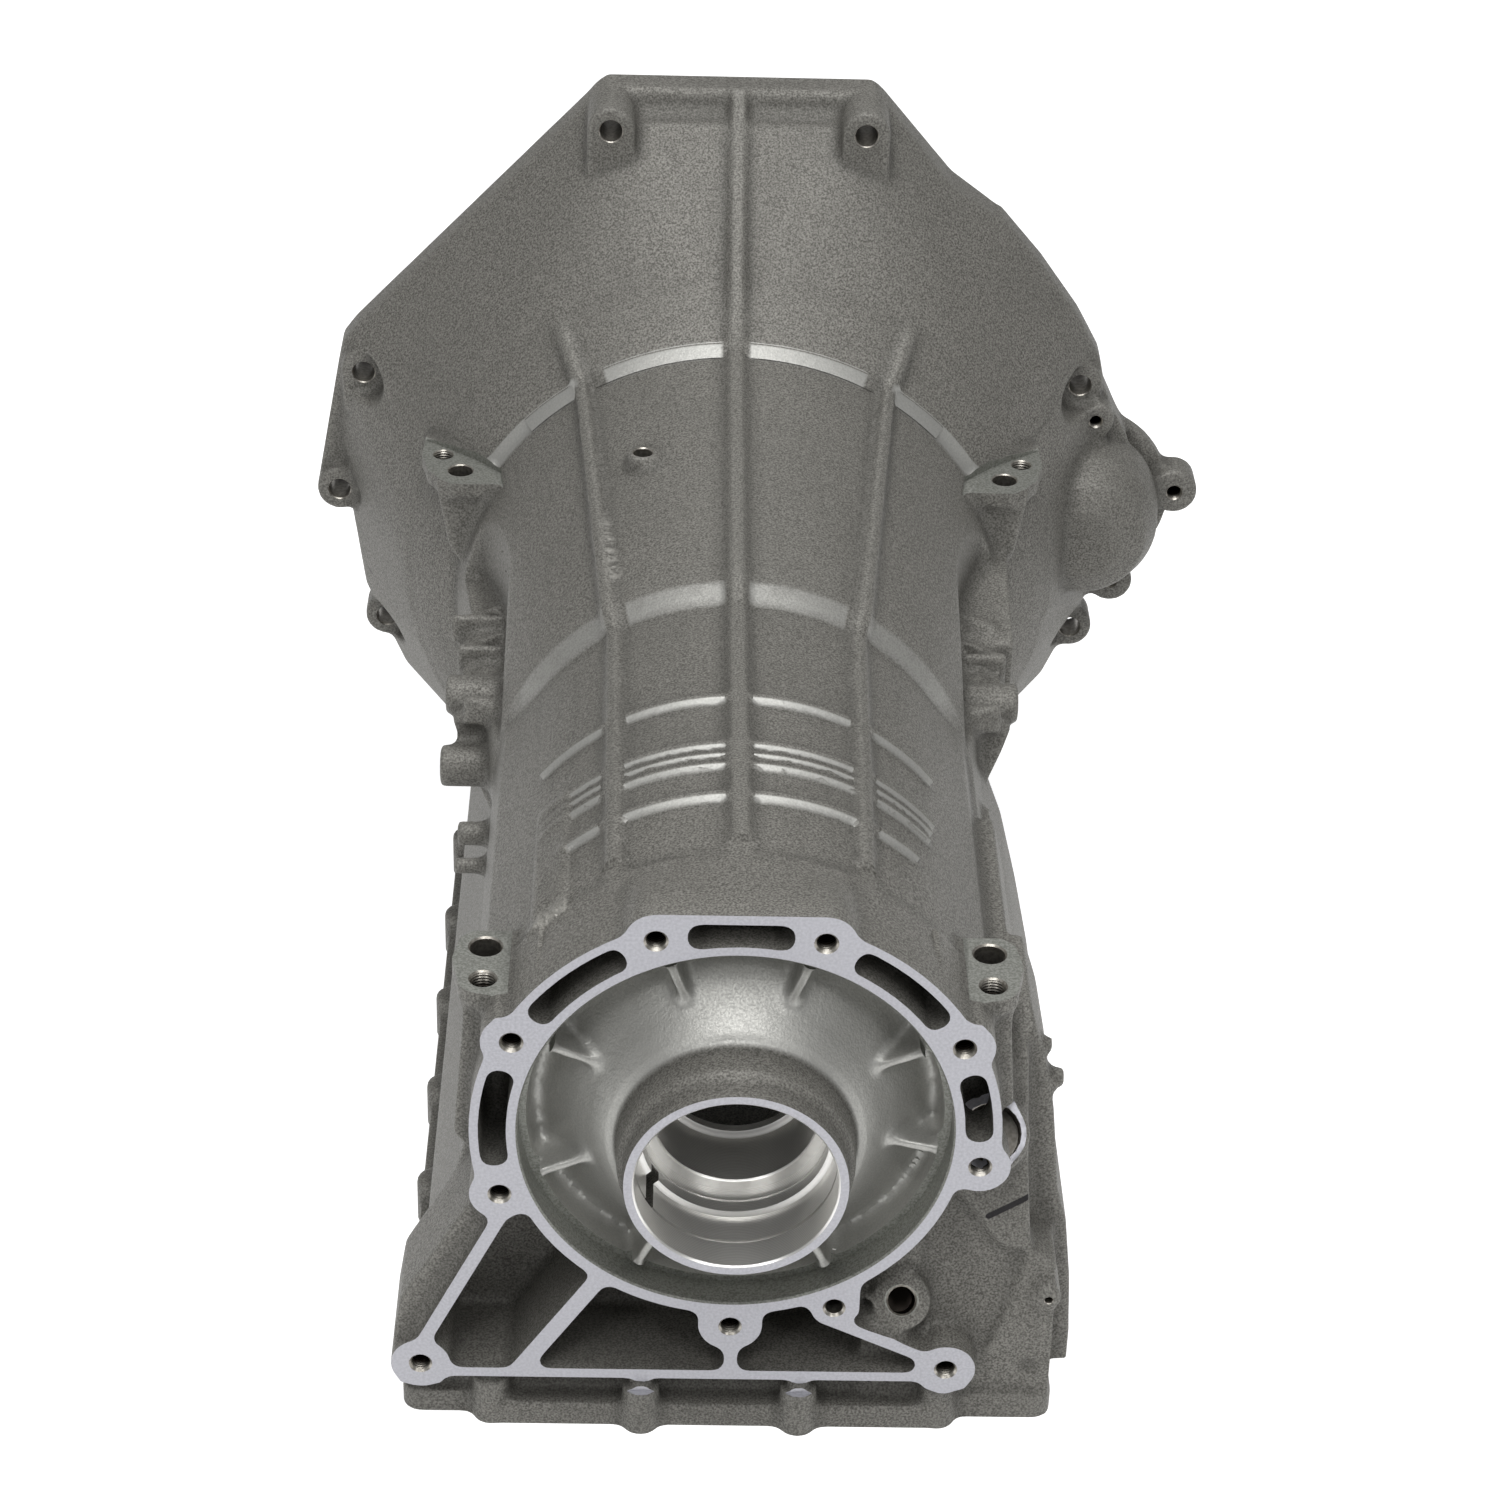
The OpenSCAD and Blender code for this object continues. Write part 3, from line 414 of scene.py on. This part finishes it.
arc_y, arc_r, arc_rise, arc_half_angle, arc_facets = 467.4, 151.6, 0.9, 46, 60
profile = [(arc_r - 4.5, arc_y - 5.6), (arc_r + 0.3, arc_y - 1.2), (arc_r + arc_rise, arc_y),
           (arc_r + arc_rise, arc_y + 0.8), (arc_r - 3, arc_y + 4)]
fuse([turned_shape("arc", profile, AXIS, AHEAD, arc_facets, CAST,
                   from_top - arc_half_angle, from_top + arc_half_angle)])

bead_places = (((-119, 366, 38), (-100, 414, 88), 46), ((-128, 300, 20), (-108, 372, 60), 26))
bead_size, bead_gap, bead_facets = (0.35, 0.85), 2.4 * mm, 7
beads, taken = [], []
dice = np.random.default_rng(11)
for low, high, number in bead_places:
    for _ in range(number):
        spot = cast_points.find(Vector(dice.uniform(low, high)) * mm)[0]
        size = dice.uniform(*bead_size)
        if any((spot - other).length < bead_gap for other in taken):
            continue
        taken.append(spot)
        profile = [(0, -size), (0.8 * size, -0.6 * size), (size, 0), (0.8 * size, 0.6 * size), (0, size)]
        beads.append(turned_shape("bead", profile, spot / mm, UP, bead_facets, CAST))
fuse(beads)


# Cast skin. The casting is blasted with fine shot, which leaves a dull warm grey with a fine speckle.
# The bowl round the hub and the rear-facing sides of the raised bands keep the smoother, more metallic
# skin of the die, and are painted paler as a painted highlight. Two short strokes of a felt pen are
# drawn on the casting by hand.
def finish(slot):
    """The nodes and the Principled shader of one of the casting's finishes."""
    material = casting.data.materials[slot]
    material.use_nodes = True
    tree = material.node_tree
    tree.nodes.clear()
    out = tree.nodes.new("ShaderNodeOutputMaterial")
    surface = tree.nodes.new("ShaderNodeBsdfPrincipled")
    tree.links.new(surface.outputs["BSDF"], out.inputs["Surface"])
    return tree, surface


def srgb(r, g, b):
    """A colour as it is seen, from 0 to 255."""
    return tuple(((c / 255 + 0.055) / 1.055) ** 2.4 for c in (r, g, b)) + (1.0,)


def new_group(name, inputs, outputs):
    """An empty node group. Inputs and outputs are pairs of a name and a kind of socket."""
    group = bpy.data.node_groups.new(name, "ShaderNodeTree")
    for label, kind in inputs:
        group.interface.new_socket(label, in_out="INPUT", socket_type=kind)
    for label, kind in outputs:
        group.interface.new_socket(label, in_out="OUTPUT", socket_type=kind)
    return group, group.nodes.new("NodeGroupInput").outputs, group.nodes.new("NodeGroupOutput").inputs


def put(tree, source, socket):
    """Links an output to a socket, or sets a plain value there."""
    if isinstance(source, bpy.types.NodeSocket):
        tree.links.new(source, socket)
    else:
        socket.default_value = source


def maths(tree, operation, one, two=0.0):
    """One sum. Each value is an output or a plain number."""
    node = tree.nodes.new("ShaderNodeMath")
    node.operation = operation
    put(tree, one, node.inputs[0])
    put(tree, two, node.inputs[1])
    return node.outputs[0]


def product(tree, one, two):
    return maths(tree, "MULTIPLY", one, two)


def vector_maths(tree, operation, one, two=None):
    """One sum of vectors, or of a vector and a number where it is scaled."""
    node = tree.nodes.new("ShaderNodeVectorMath")
    node.operation = operation
    put(tree, one, node.inputs[0])
    if two is not None:
        put(tree, two, node.inputs["Scale"] if operation == "SCALE" else node.inputs[1])
    return node.outputs["Value"] if operation in ("DOT_PRODUCT", "LENGTH") else node.outputs["Vector"]


def noise(tree, coords, scale, detail, rough=0.5):
    """A cloudy pattern, finer as scale goes up."""
    node = tree.nodes.new("ShaderNodeTexNoise")
    node.inputs["Scale"].default_value = scale
    node.inputs["Detail"].default_value = detail
    node.inputs["Roughness"].default_value = rough
    tree.links.new(coords, node.inputs["Vector"])
    return node.outputs["Fac"]


def ramp(tree, value, low, high, start=0.0, end=1.0):
    """Straight run from start to end as value goes from low to high."""
    node = tree.nodes.new("ShaderNodeMapRange")
    node.inputs["From Min"].default_value = low
    node.inputs["From Max"].default_value = high
    node.inputs["To Min"].default_value = start
    node.inputs["To Max"].default_value = end
    tree.links.new(value, node.inputs["Value"])
    return node.outputs["Result"]


def mixed(tree, mask, one, two):
    """Mix of two colours by a mask. Each colour is an output or a plain colour."""
    node = tree.nodes.new("ShaderNodeMix")
    node.data_type = "RGBA"
    for source, socket in ((mask, node.inputs["Factor"]), (one, node.inputs["A"]), (two, node.inputs["B"])):
        put(tree, source, socket)
    return node.outputs["Result"]


def placed(tree, group, **values):
    """Puts a node group into a material with its own values."""
    node = tree.nodes.new("ShaderNodeGroup")
    node.node_tree = group
    for label, value in values.items():
        node.inputs[label].default_value = value
    return node.outputs


def bumped(tree, surface, height, strength, distance):
    """Gives a surface its fine relief, with its depth in metres."""
    node = tree.nodes.new("ShaderNodeBump")
    node.inputs["Strength"].default_value = strength
    node.inputs["Distance"].default_value = distance
    tree.links.new(height, node.inputs["Height"])
    tree.links.new(node.outputs["Normal"], surface.inputs["Normal"])


def kept(tree, name):
    """A value that is kept on the casting's points."""
    node = tree.nodes.new("ShaderNodeAttribute")
    node.attribute_name = name
    return node.outputs["Fac"]


def parted(tree, vector):
    """The three parts of a vector."""
    node = tree.nodes.new("ShaderNodeSeparateXYZ")
    tree.links.new(vector, node.inputs[0])
    return node.outputs["X"], node.outputs["Y"], node.outputs["Z"]


def place_on(tree):
    """The place on the casting, in metres."""
    return tree.nodes.new("ShaderNodeTexCoord").outputs["Object"]


# Speckle from the blasting shot, with soft clouds of darker and lighter metal
fine_grain, coarse_grain, grain_detail = 1050, 420, 1.5
cloud_grain, cloud_detail, cloud_rough = 11, 4, 0.6
grain, given, made = new_group("blasted_grain", [("Size", "NodeSocketFloat")],
                               [(name, "NodeSocketFloat") for name in ("Speckle", "Cloud", "Height")])
place = place_on(grain)
sized = vector_maths(grain, "SCALE", place, given["Size"])
fine_noise = noise(grain, sized, fine_grain, grain_detail)
coarse_noise = noise(grain, sized, coarse_grain, grain_detail)
cloud_noise = noise(grain, place, cloud_grain, cloud_detail, cloud_rough)
put(grain, ramp(grain, fine_noise, 0.34, 0.66), made["Speckle"])
put(grain, ramp(grain, cloud_noise, 0.3, 0.7), made["Cloud"])
put(grain, maths(grain, "ADD", fine_noise, coarse_noise), made["Height"])

# One stroke of a felt pen between two points, in metres
stroke, given, made = new_group(
    "pen_stroke",
    [("Start", "NodeSocketVector"), ("End", "NodeSocketVector"), ("Width", "NodeSocketFloat")],
    [("Mask", "NodeSocketFloat")],
)
run = vector_maths(stroke, "SUBTRACT", given["End"], given["Start"])
from_start = vector_maths(stroke, "SUBTRACT", place_on(stroke), given["Start"])
along = maths(stroke, "DIVIDE", vector_maths(stroke, "DOT_PRODUCT", from_start, run),
              vector_maths(stroke, "DOT_PRODUCT", run, run))
along = ramp(stroke, along, 0, 1)
aside = vector_maths(stroke, "SUBTRACT", from_start, vector_maths(stroke, "SCALE", run, along))
ratio = maths(stroke, "DIVIDE", vector_maths(stroke, "LENGTH", aside), given["Width"])
put(stroke, ramp(stroke, ratio, 0.42, 0.58, 1, 0), made["Mask"])

tree, surface = finish(CAST)
blast = placed(tree, grain, Size=1.0)
spot_x, spot_y, spot_z = parted(tree, place_on(tree))
facing_y = parted(tree, tree.nodes.new("ShaderNodeNewGeometry").outputs["Normal"])[1]
squares = maths(tree, "ADD", product(tree, spot_x, spot_x), product(tree, spot_z, spot_z))
from_axis = maths(tree, "SQRT", squares)

# The bowl's smoother skin reaches out to the pilot bore, but not the collar of the hub
bowl_r, bowl_deep_y, collar_r, collar_blend = 93 * mm, 62 * mm, 52 * mm, 1.5 * mm
in_bowl = product(tree, ramp(tree, from_axis, bowl_r, bowl_r - mm),
                  ramp(tree, spot_y, bowl_deep_y, bowl_deep_y - mm))
in_bowl = product(tree, in_bowl, ramp(tree, from_axis, collar_r, collar_r + collar_blend))

# The rear-facing sides of the bands, the step in the barrel and the arc, between the ribs, are smoother and
# get a painted highlight
raised_stations, station_blend = ((88, 142), (170, 182), (259, 279), (460, 469)), 0.5
raised_r, raised_z, rear_facing = (156 * mm, 154 * mm), (40 * mm, 60 * mm), (-0.2, -0.45)
rib_angle, rib_clear, rib_blend = math.radians(29.6), math.radians(2.4), 1.3
raised_face_highlight = 0.0
for first_y, last_y in raised_stations:
    station = product(tree, ramp(tree, spot_y, first_y * mm, (first_y + station_blend) * mm),
                      ramp(tree, spot_y, last_y * mm, (last_y - station_blend) * mm))
    raised_face_highlight = maths(tree, "ADD", station, raised_face_highlight)
raised_face_highlight = product(tree, raised_face_highlight, ramp(tree, facing_y, *rear_facing))
raised_face_highlight = product(tree, raised_face_highlight, ramp(tree, spot_z, *raised_z))
raised_face_highlight = product(tree, raised_face_highlight, ramp(tree, from_axis, *raised_r))
turn = maths(tree, "ABSOLUTE", maths(tree, "ARCTAN2", spot_x, spot_z))
for rib in (0, rib_angle):
    beside = maths(tree, "ABSOLUTE", maths(tree, "SUBTRACT", turn, rib))
    raised_face_highlight = product(tree, raised_face_highlight, ramp(tree, beside, rib_clear, rib_blend * rib_clear))
# Painted highlight: the bowl and these raised sides are painted paler, and are also smoother and more
# metallic
smooth_and_highlight = maths(tree, "MAXIMUM", in_bowl, raised_face_highlight)

# Colours from the blasted ground up to the pen, each with its share
colour = mixed(tree, blast["Speckle"], srgb(86, 84, 79), srgb(146, 144, 138))
for mask, share, shade in (
    (blast["Cloud"], 0.3, srgb(104, 103, 98)),
    # Painted shade: hollows and inside corners are darkened
    (kept(tree, "hollow_shade"), 0.4, srgb(66, 65, 61)),
    # Painted highlight, partly rubbed wear: outer edges are paler
    (kept(tree, "edge"), 0.16, srgb(168, 167, 161)),
    # Painted highlight on the bowl and the rear-facing raised sides
    (smooth_and_highlight, 0.62, srgb(202, 202, 198)),
    (kept(tree, "torn"), 0.45, srgb(186, 184, 177)),
):
    colour = mixed(tree, product(tree, mask, share), colour, shade)
wall_stroke = placed(tree, stroke, Start=(0.1151, 0.0252, -0.0632), End=(0.1325, 0.027, -0.0535),
                     Width=0.0029)
bell_stroke = placed(tree, stroke, Start=(-0.204, 0.566, -0.040), End=(-0.193, 0.55, -0.041),
                     Width=0.0016)
worn_ink = 0.6
colour = mixed(tree, wall_stroke["Mask"], colour, srgb(22, 19, 22))
colour = mixed(tree, product(tree, bell_stroke["Mask"], worn_ink), colour, srgb(46, 42, 44))
tree.links.new(colour, surface.inputs["Base Color"])
blasted_metal, smooth_metal = 0.3, 0.75
put(tree, ramp(tree, smooth_and_highlight, 0, 1, blasted_metal, smooth_metal), surface.inputs["Metallic"])
dark_rough, pale_rough, smooth_gain = 0.64, 0.54, 0.1
blasted_rough = ramp(tree, blast["Speckle"], 0, 1, dark_rough, pale_rough)
rough = maths(tree, "SUBTRACT", blasted_rough, product(tree, smooth_and_highlight, smooth_gain))
put(tree, rough, surface.inputs["Roughness"])
bumped(tree, surface, blast["Height"], 0.6, 0.2 * mm)


# Milled faces. The rear face, the hub's end, the bell face and the pan face are cut flat in one
# clamping. They are the palest metal on the case, with the faint speckle of a worn milling head.
def slab(low, high, slot=MILLED):
    """A block between two corners, in millimetres."""
    corners = [(a, b, c) for a in (low[0], high[0]) for b in (low[1], high[1]) for c in (low[2], high[2])]
    faces = [(0, 1, 3, 2), (4, 6, 7, 5), (0, 4, 5, 1), (2, 3, 7, 6), (0, 2, 6, 4), (1, 5, 7, 3)]
    shape = bpy.data.meshes.new("slab")
    shape.from_pydata([Vector(corner) * mm for corner in corners], [], faces)
    shape.polygons.foreach_set("material_index", [slot] * len(faces))
    return shape


def machine(cutters):
    """Takes the cutters away from the casting."""
    tool = joined("tool", cutters)
    bake_modifier(casting, "BOOLEAN", operation="DIFFERENCE", solver="MANIFOLD", object=tool)
    bpy.data.objects.remove(tool)


tree, surface = finish(MILLED)
blast = placed(tree, grain, Size=0.75)
colour = mixed(tree, blast["Cloud"], srgb(172, 172, 178), srgb(181, 181, 187))
colour = mixed(tree, blast["Speckle"], colour, srgb(190, 190, 196))
tree.links.new(colour, surface.inputs["Base Color"])
surface.inputs["Metallic"].default_value = 0.5
surface.inputs["Roughness"].default_value = 0.42
bumped(tree, surface, blast["Height"], 0.1, 0.05 * mm)

# The rear cutter is a plate with a round window over the hub, which stands proud of the face
window_r, plate_r, plate_thick, plate_facets = 62, 300, 12, 96
plate_half_w, plate_top, plate_low = 200 * mm, 150 * mm, 147 * mm
rear_plate = ring_shape("rear_plate", window_r, plate_r, milled_rear_y, -plate_thick, plate_facets, MILLED)
tiny = 1e-6
for corner in rear_plate.vertices:
    out_x, out_z = corner.co.x, corner.co.z
    if math.hypot(out_x, out_z) > (window_r + 1) * mm:
        height = plate_top if out_z > 0 else plate_low
        grow = min(plate_half_w / max(abs(out_x), tiny), height / max(abs(out_z), tiny))
        corner.co.x, corner.co.z = out_x * grow, out_z * grow
wide, hub_half, bell_clear, pan_clear, pan_start_y = 300, 60, 28, 20, -15
machine([
    rear_plate,
    slab((-hub_half, -hub_half, -hub_half), (hub_half, hub_end_y, hub_half)),
    slab((-wide, bell_face_y, -wide), (wide, bell_face_y + bell_clear, wide)),
    slab((-wide, pan_start_y, pan_face_z - pan_clear), (wide, bell_face_y - 1, pan_face_z)),
])


# Skimmed pads. Four mounting pads on the shoulders, the face round the low port in the leaning wall
# and the pilot bore of the bowl are cut with a worn tool and are duller than the milled faces. The face
# round the high port is cut here too, with the milled finish.
tree, surface = finish(SKIMMED)
blast = placed(tree, grain, Size=0.9)
colour = mixed(tree, blast["Speckle"], srgb(126, 127, 121), srgb(160, 161, 155))
tree.links.new(colour, surface.inputs["Base Color"])
surface.inputs["Metallic"].default_value = 0.6
surface.inputs["Roughness"].default_value = 0.48
bumped(tree, surface, blast["Height"], 0.2, 0.1 * mm)


def prism(outline, low, high, slot):
    """An upright block over an outline in X and Y, in millimetres."""
    n = len(outline)
    coords = [Vector((px, py, pz)) * mm for pz in (low, high) for px, py in outline]
    faces = [tuple(range(n)), tuple(range(n, 2 * n))]
    faces += [(i, (i + 1) % n, n + (i + 1) % n, n + i) for i in range(n)]
    shape = bpy.data.meshes.new("prism")
    shape.from_pydata(coords, [], faces)
    shape.polygons.foreach_set("material_index", [slot] * len(faces))
    return shape


face_above, face_sink, face_facets = 6, 0.4, 40


def spot_face(middle, tilt, r, slot):
    """Cutter for the flat round face of a port."""
    profile = [(0, face_above), (r, face_above), (r, -face_sink), (0, -face_sink)]
    return turned_shape("spot_face", profile, middle, leaning(tilt), face_facets, slot)


high_pad = ((120, 444), (150, 444), (163, 461), (167, 482), (166, 498), (150, 486), (136, 475), (122, 460))
high_pad_cut, low_pad_cut = 6, 8
low_pad_inner, low_pad_outer, low_pad_y = 98.8, 130, (17, 70)
low_pad_top = low_pad_z + low_pad_cut
pilot_r, pilot_depth, pilot_inner, pilot_chamfer = 94.5, 15.1, 89, 0.8
pilot_mouth_r, pilot_start_y, pilot_facets = pilot_r + pilot_chamfer, -20, 144
profile = [(pilot_inner, pilot_start_y), (pilot_mouth_r, pilot_start_y), (pilot_mouth_r, milled_rear_y),
           (pilot_r, pilot_chamfer), (pilot_r, pilot_depth), (pilot_inner, pilot_depth)]
pilot = turned_shape("pilot", profile, AXIS, AHEAD, pilot_facets, SKIMMED)
skimmers = []
for side in (-1, 1):
    outline = [(side * px, py) for px, py in high_pad]
    skimmers.append(prism(outline, high_pad_z, high_pad_z + high_pad_cut, SKIMMED))
for first_x, last_x in ((low_pad_inner, low_pad_outer), (-low_pad_outer, -low_pad_inner)):
    skimmers.append(slab((first_x, low_pad_y[0], low_pad_z), (last_x, low_pad_y[1], low_pad_top), SKIMMED))
skimmers += [
    pilot,
    spot_face(high_port, high_port_tilt, 17.2, MILLED),
    spot_face(low_port, low_port_tilt, 9.6, SKIMMED),
]
machine(skimmers)


# Turned bores. The hub is bored in steps for the output bearing, its seal and a bush, with a ring
# groove, and an oil window is cut through its wall. The pump seat in the bell is turned too.
tree, surface = finish(TURNED)
marks = tree.nodes.new("ShaderNodeTexWave")
marks.bands_direction = "Y"
marks.inputs["Scale"].default_value = 300
marks.inputs["Distortion"].default_value = 1.2
tree.links.new(place_on(tree), marks.inputs["Vector"])
colour = mixed(tree, marks.outputs["Fac"], srgb(214, 213, 210), srgb(240, 239, 236))
tree.links.new(colour, surface.inputs["Base Color"])
surface.inputs["Metallic"].default_value = 0.85
surface.inputs["Roughness"].default_value = 0.32
bumped(tree, surface, marks.outputs["Fac"], 0.5, 0.03 * mm)

mouth_r, seal_r, seal_groove_r = 44.4, 43.6, 45
bearing_r, clip_groove_r, bush_r, shaft_r = 41, 41.5, 36, 33
pump_r, pump_wide_r, bore_facets = 102, 102.8, 144
stepped_bore = [
    (0, -50), (mouth_r, -50), (mouth_r, hub_end_y), (seal_r, hub_end_y + 0.8), (seal_r, -19.5),
    (seal_groove_r, -19.5), (seal_groove_r, -17.9), (seal_r, -17.9), (seal_r, -2), (bearing_r, -1.2),
    (bearing_r, 5), (clip_groove_r, 5), (clip_groove_r, 6.5), (bearing_r, 6.5), (bearing_r, 14),
    (bush_r + 0.8, 14), (bush_r, 14.8), (bush_r, 44), (shaft_r, 45.5), (shaft_r, 52), (0, 52),
]
pump_bore = [(0, 440), (pump_r, 440), (pump_r, 457.2), (pump_wide_r, pump_seat_y), (pump_wide_r, 462),
             (0, 462)]
machine([
    turned_shape("bore", stepped_bore, AXIS, AHEAD, bore_facets, TURNED),
    turned_shape("pump", pump_bore, AXIS, AHEAD, bore_facets, TURNED),
])
window_turn = Matrix.Rotation(math.radians(-32), 3, "Y")
oil_window = slab((-49, -18, -3), (-40, 4, 3), CAST)
for corner in oil_window.vertices:
    corner.co = window_turn @ corner.co
machine([oil_window])


# Drilled holes. They are drilled and tapped last, and keep bright metal at the mouth, with a painted shade
# darkening them further down. Most of them are blind and end in the cone of the drill's point.
tree, surface = finish(DRILLED)
blast = placed(tree, grain, Size=0.5)
colour = mixed(tree, blast["Speckle"], srgb(150, 146, 138), srgb(190, 186, 178))
# Painted shade: the holes darken further from the mouth
colour = mixed(tree, kept(tree, "hole_shade"), colour, srgb(30, 26, 22))
tree.links.new(colour, surface.inputs["Base Color"])
surface.inputs["Metallic"].default_value = 0.9
surface.inputs["Roughness"].default_value = 0.34

above_mouth, drill_facets, drill_point, point_gap = 6, 20, 1.5, 0.02
longest_thread, below_thread, groove_depth = 15, 4, 0.28


def drill(middle, out, r, depth, chamfer, pitch):
    """Cutter for one hole: chamfer, wall with grooves where it is tapped, and a drill point."""
    profile = [(0, above_mouth), (r + chamfer, above_mouth), (r + chamfer, 0), (r, -chamfer)]
    if pitch:
        turns = int(min(depth - below_thread, longest_thread) / pitch)
        for i in range(turns):
            top = -chamfer - i * pitch
            profile += [(r, top - 0.1), (r + groove_depth * pitch, top - 0.45 * pitch),
                        (r, top - 0.8 * pitch)]
    profile += [(r - point_gap, -depth + drill_point), (0, -depth)]
    return turned_shape("drill", profile, middle, out, drill_facets, DRILLED)


machine([drill(*hole) for hole in holes])

# Painted highlight on the edges, partly rubbed wear, painted shade in the hollows and down the holes, and
# bright torn metal are kept on the points for the finishes
mesh = casting.data
places = np.empty(len(mesh.vertices) * 3)
mesh.vertices.foreach_get("co", places)
places = places.reshape(-1, 3) / mm
nearest = [cast_points.find(p)[1] for p in (places * mm).tolist()]
bend_gain = 14
# Bend gives a painted highlight on outer edges and a painted shade in hollows
wear_highlight_and_shade = bend[nearest] * bend_gain
hole_skin, mouth_depth, unshaded_depth, shade_run = 0.6, 0.3, 1.0, 1.1
# Painted shade: each hole darkens further from its mouth
hole_shade = np.zeros(len(places))
for middle, out, r, depth, chamfer, pitch in holes:
    arm = places - np.array(middle)
    down = -arm @ np.array(out)
    aside = np.linalg.norm(arm + down[:, None] * np.array(out), axis=1)
    inside = (aside < r + chamfer + hole_skin) & (down > mouth_depth) & (down < depth + 1)
    hole_shade = np.where(inside, np.clip((down - unshaded_depth) / (shade_run * r), 0, 1), hole_shade)
for name, values in (("edge", np.clip(wear_highlight_and_shade, 0, 1)), ("hollow_shade", np.clip(-wear_highlight_and_shade, 0, 1)),
                     ("torn", rough_metal[nearest]), ("hole_shade", hole_shade)):
    mesh.attributes.new(name, "FLOAT", "POINT").data.foreach_set("value", values.astype(np.float32))
sharp_angle = math.radians(38)
mesh.polygons.foreach_set("use_smooth", [True] * len(mesh.polygons))
mesh.set_sharp_from_angle(angle=sharp_angle)
mesh.update()
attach(casting, "root")
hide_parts("case")


# Floor. A sheet of white paper that the case stands on. It shows white to the camera and in the
# metal, and keeps the case's shadow.
paper_half, paper_z = 30, pan_face_z * mm
paper_corners = [(-paper_half, -paper_half, paper_z), (paper_half, -paper_half, paper_z),
                 (paper_half, paper_half, paper_z), (-paper_half, paper_half, paper_z)]
paper_mesh = bpy.data.meshes.new("floor")
paper_mesh.from_pydata(paper_corners, [], [(0, 1, 2, 3)])
floor = bpy.data.objects.new("floor", paper_mesh)
bpy.context.scene.collection.objects.link(floor)
paper = bpy.data.materials.new("white_paper")
paper.use_nodes = True
paper_mesh.materials.append(paper)
tree = paper.node_tree
tree.nodes.clear()
out = tree.nodes.new("ShaderNodeOutputMaterial")
matt = tree.nodes.new("ShaderNodeBsdfDiffuse")
matt.inputs["Color"].default_value = (0.62, 0.62, 0.62, 1)
glow = tree.nodes.new("ShaderNodeEmission")
glow.inputs["Strength"].default_value = 0.86
lit = tree.nodes.new("ShaderNodeAddShader")
chosen = tree.nodes.new("ShaderNodeMixShader")
rays = tree.nodes.new("ShaderNodeLightPath").outputs
seen = maths(tree, "MAXIMUM", rays["Is Camera Ray"],
             maths(tree, "MAXIMUM", rays["Is Glossy Ray"], rays["Is Transmission Ray"]))
tree.links.new(matt.outputs[0], lit.inputs[0])
tree.links.new(glow.outputs[0], lit.inputs[1])
tree.links.new(seen, chosen.inputs["Fac"])
tree.links.new(matt.outputs[0], chosen.inputs[1])
tree.links.new(lit.outputs[0], chosen.inputs[2])
tree.links.new(chosen.outputs[0], out.inputs["Surface"])


# Studio light. A pale room, a small softbox at each side behind the camera, and two large ones
# overhead, one of them behind the hub.
bpy.context.scene.view_settings.view_transform = "Standard"
room_light, room_seen = 0.27, 1.0
studio = bpy.data.worlds.new("studio")
bpy.context.scene.world = studio
studio.use_nodes = True
tree = studio.node_tree
tree.nodes.clear()
out = tree.nodes.new("ShaderNodeOutputWorld")
room = tree.nodes.new("ShaderNodeBackground")
room.inputs["Color"].default_value = (1, 1, 1, 1)
rays = tree.nodes.new("ShaderNodeLightPath").outputs
put(tree, ramp(tree, rays["Is Camera Ray"], 0, 1, room_light, room_seen), room.inputs["Strength"])
tree.links.new(room.outputs[0], out.inputs["Surface"])


def softbox(name, place, aim, size, power):
    """A square lamp, with its place and aim in metres and its power in watts."""
    lamp = bpy.data.lights.new(name, "AREA")
    lamp.shape = "SQUARE"
    lamp.size = size
    lamp.energy = power
    holder = bpy.data.objects.new(name, lamp)
    holder.location = place
    holder.rotation_euler = (Vector(aim) - Vector(place)).to_track_quat("-Z", "Y").to_euler()
    bpy.context.scene.collection.objects.link(holder)


softbox("left_box", (-1.1, -1.8, 1.7), (0, 0.2, 0), 0.4, 6)
softbox("right_box", (1.1, -1.8, 1.7), (0, 0.2, 0), 0.4, 6)
softbox("key_box", (0, -0.8, 2.2), (0, 0.2, 0), 1.5, 29)
softbox("top_box", (0, 0.8, 2.3), (0, 0.3, 0), 1.4, 17)


# Camera. It stands behind the hub and looks down at it with a long lens, a little turned and a
# little off level.
camera_turn, camera_dip, camera_lean = (math.radians(a) for a in (1.5145, 32.065, 1.736))
camera_place = Vector((-0.0324, -1.2675, 0.9913))
camera_data = bpy.data.cameras.new("photo_camera")
camera_data.sensor_width = 36.0
camera_data.lens = 88.8
camera_data.clip_start = 0.01
camera = bpy.data.objects.new("photo_camera", camera_data)
bpy.context.scene.collection.objects.link(camera)
gaze = Vector((math.sin(camera_turn) * math.cos(camera_dip),
               math.cos(camera_turn) * math.cos(camera_dip), -math.sin(camera_dip)))
level = Vector((math.cos(camera_turn), -math.sin(camera_turn), 0.0))
above = level.cross(gaze)
camera_right = level * math.cos(camera_lean) + above * math.sin(camera_lean)
camera_up = above * math.cos(camera_lean) - level * math.sin(camera_lean)
axes = Matrix((camera_right, camera_up, -gaze)).transposed().to_4x4()
camera.matrix_world = Matrix.Translation(camera_place) @ axes
bpy.context.scene.camera = camera

bpy.context.view_layer.update()
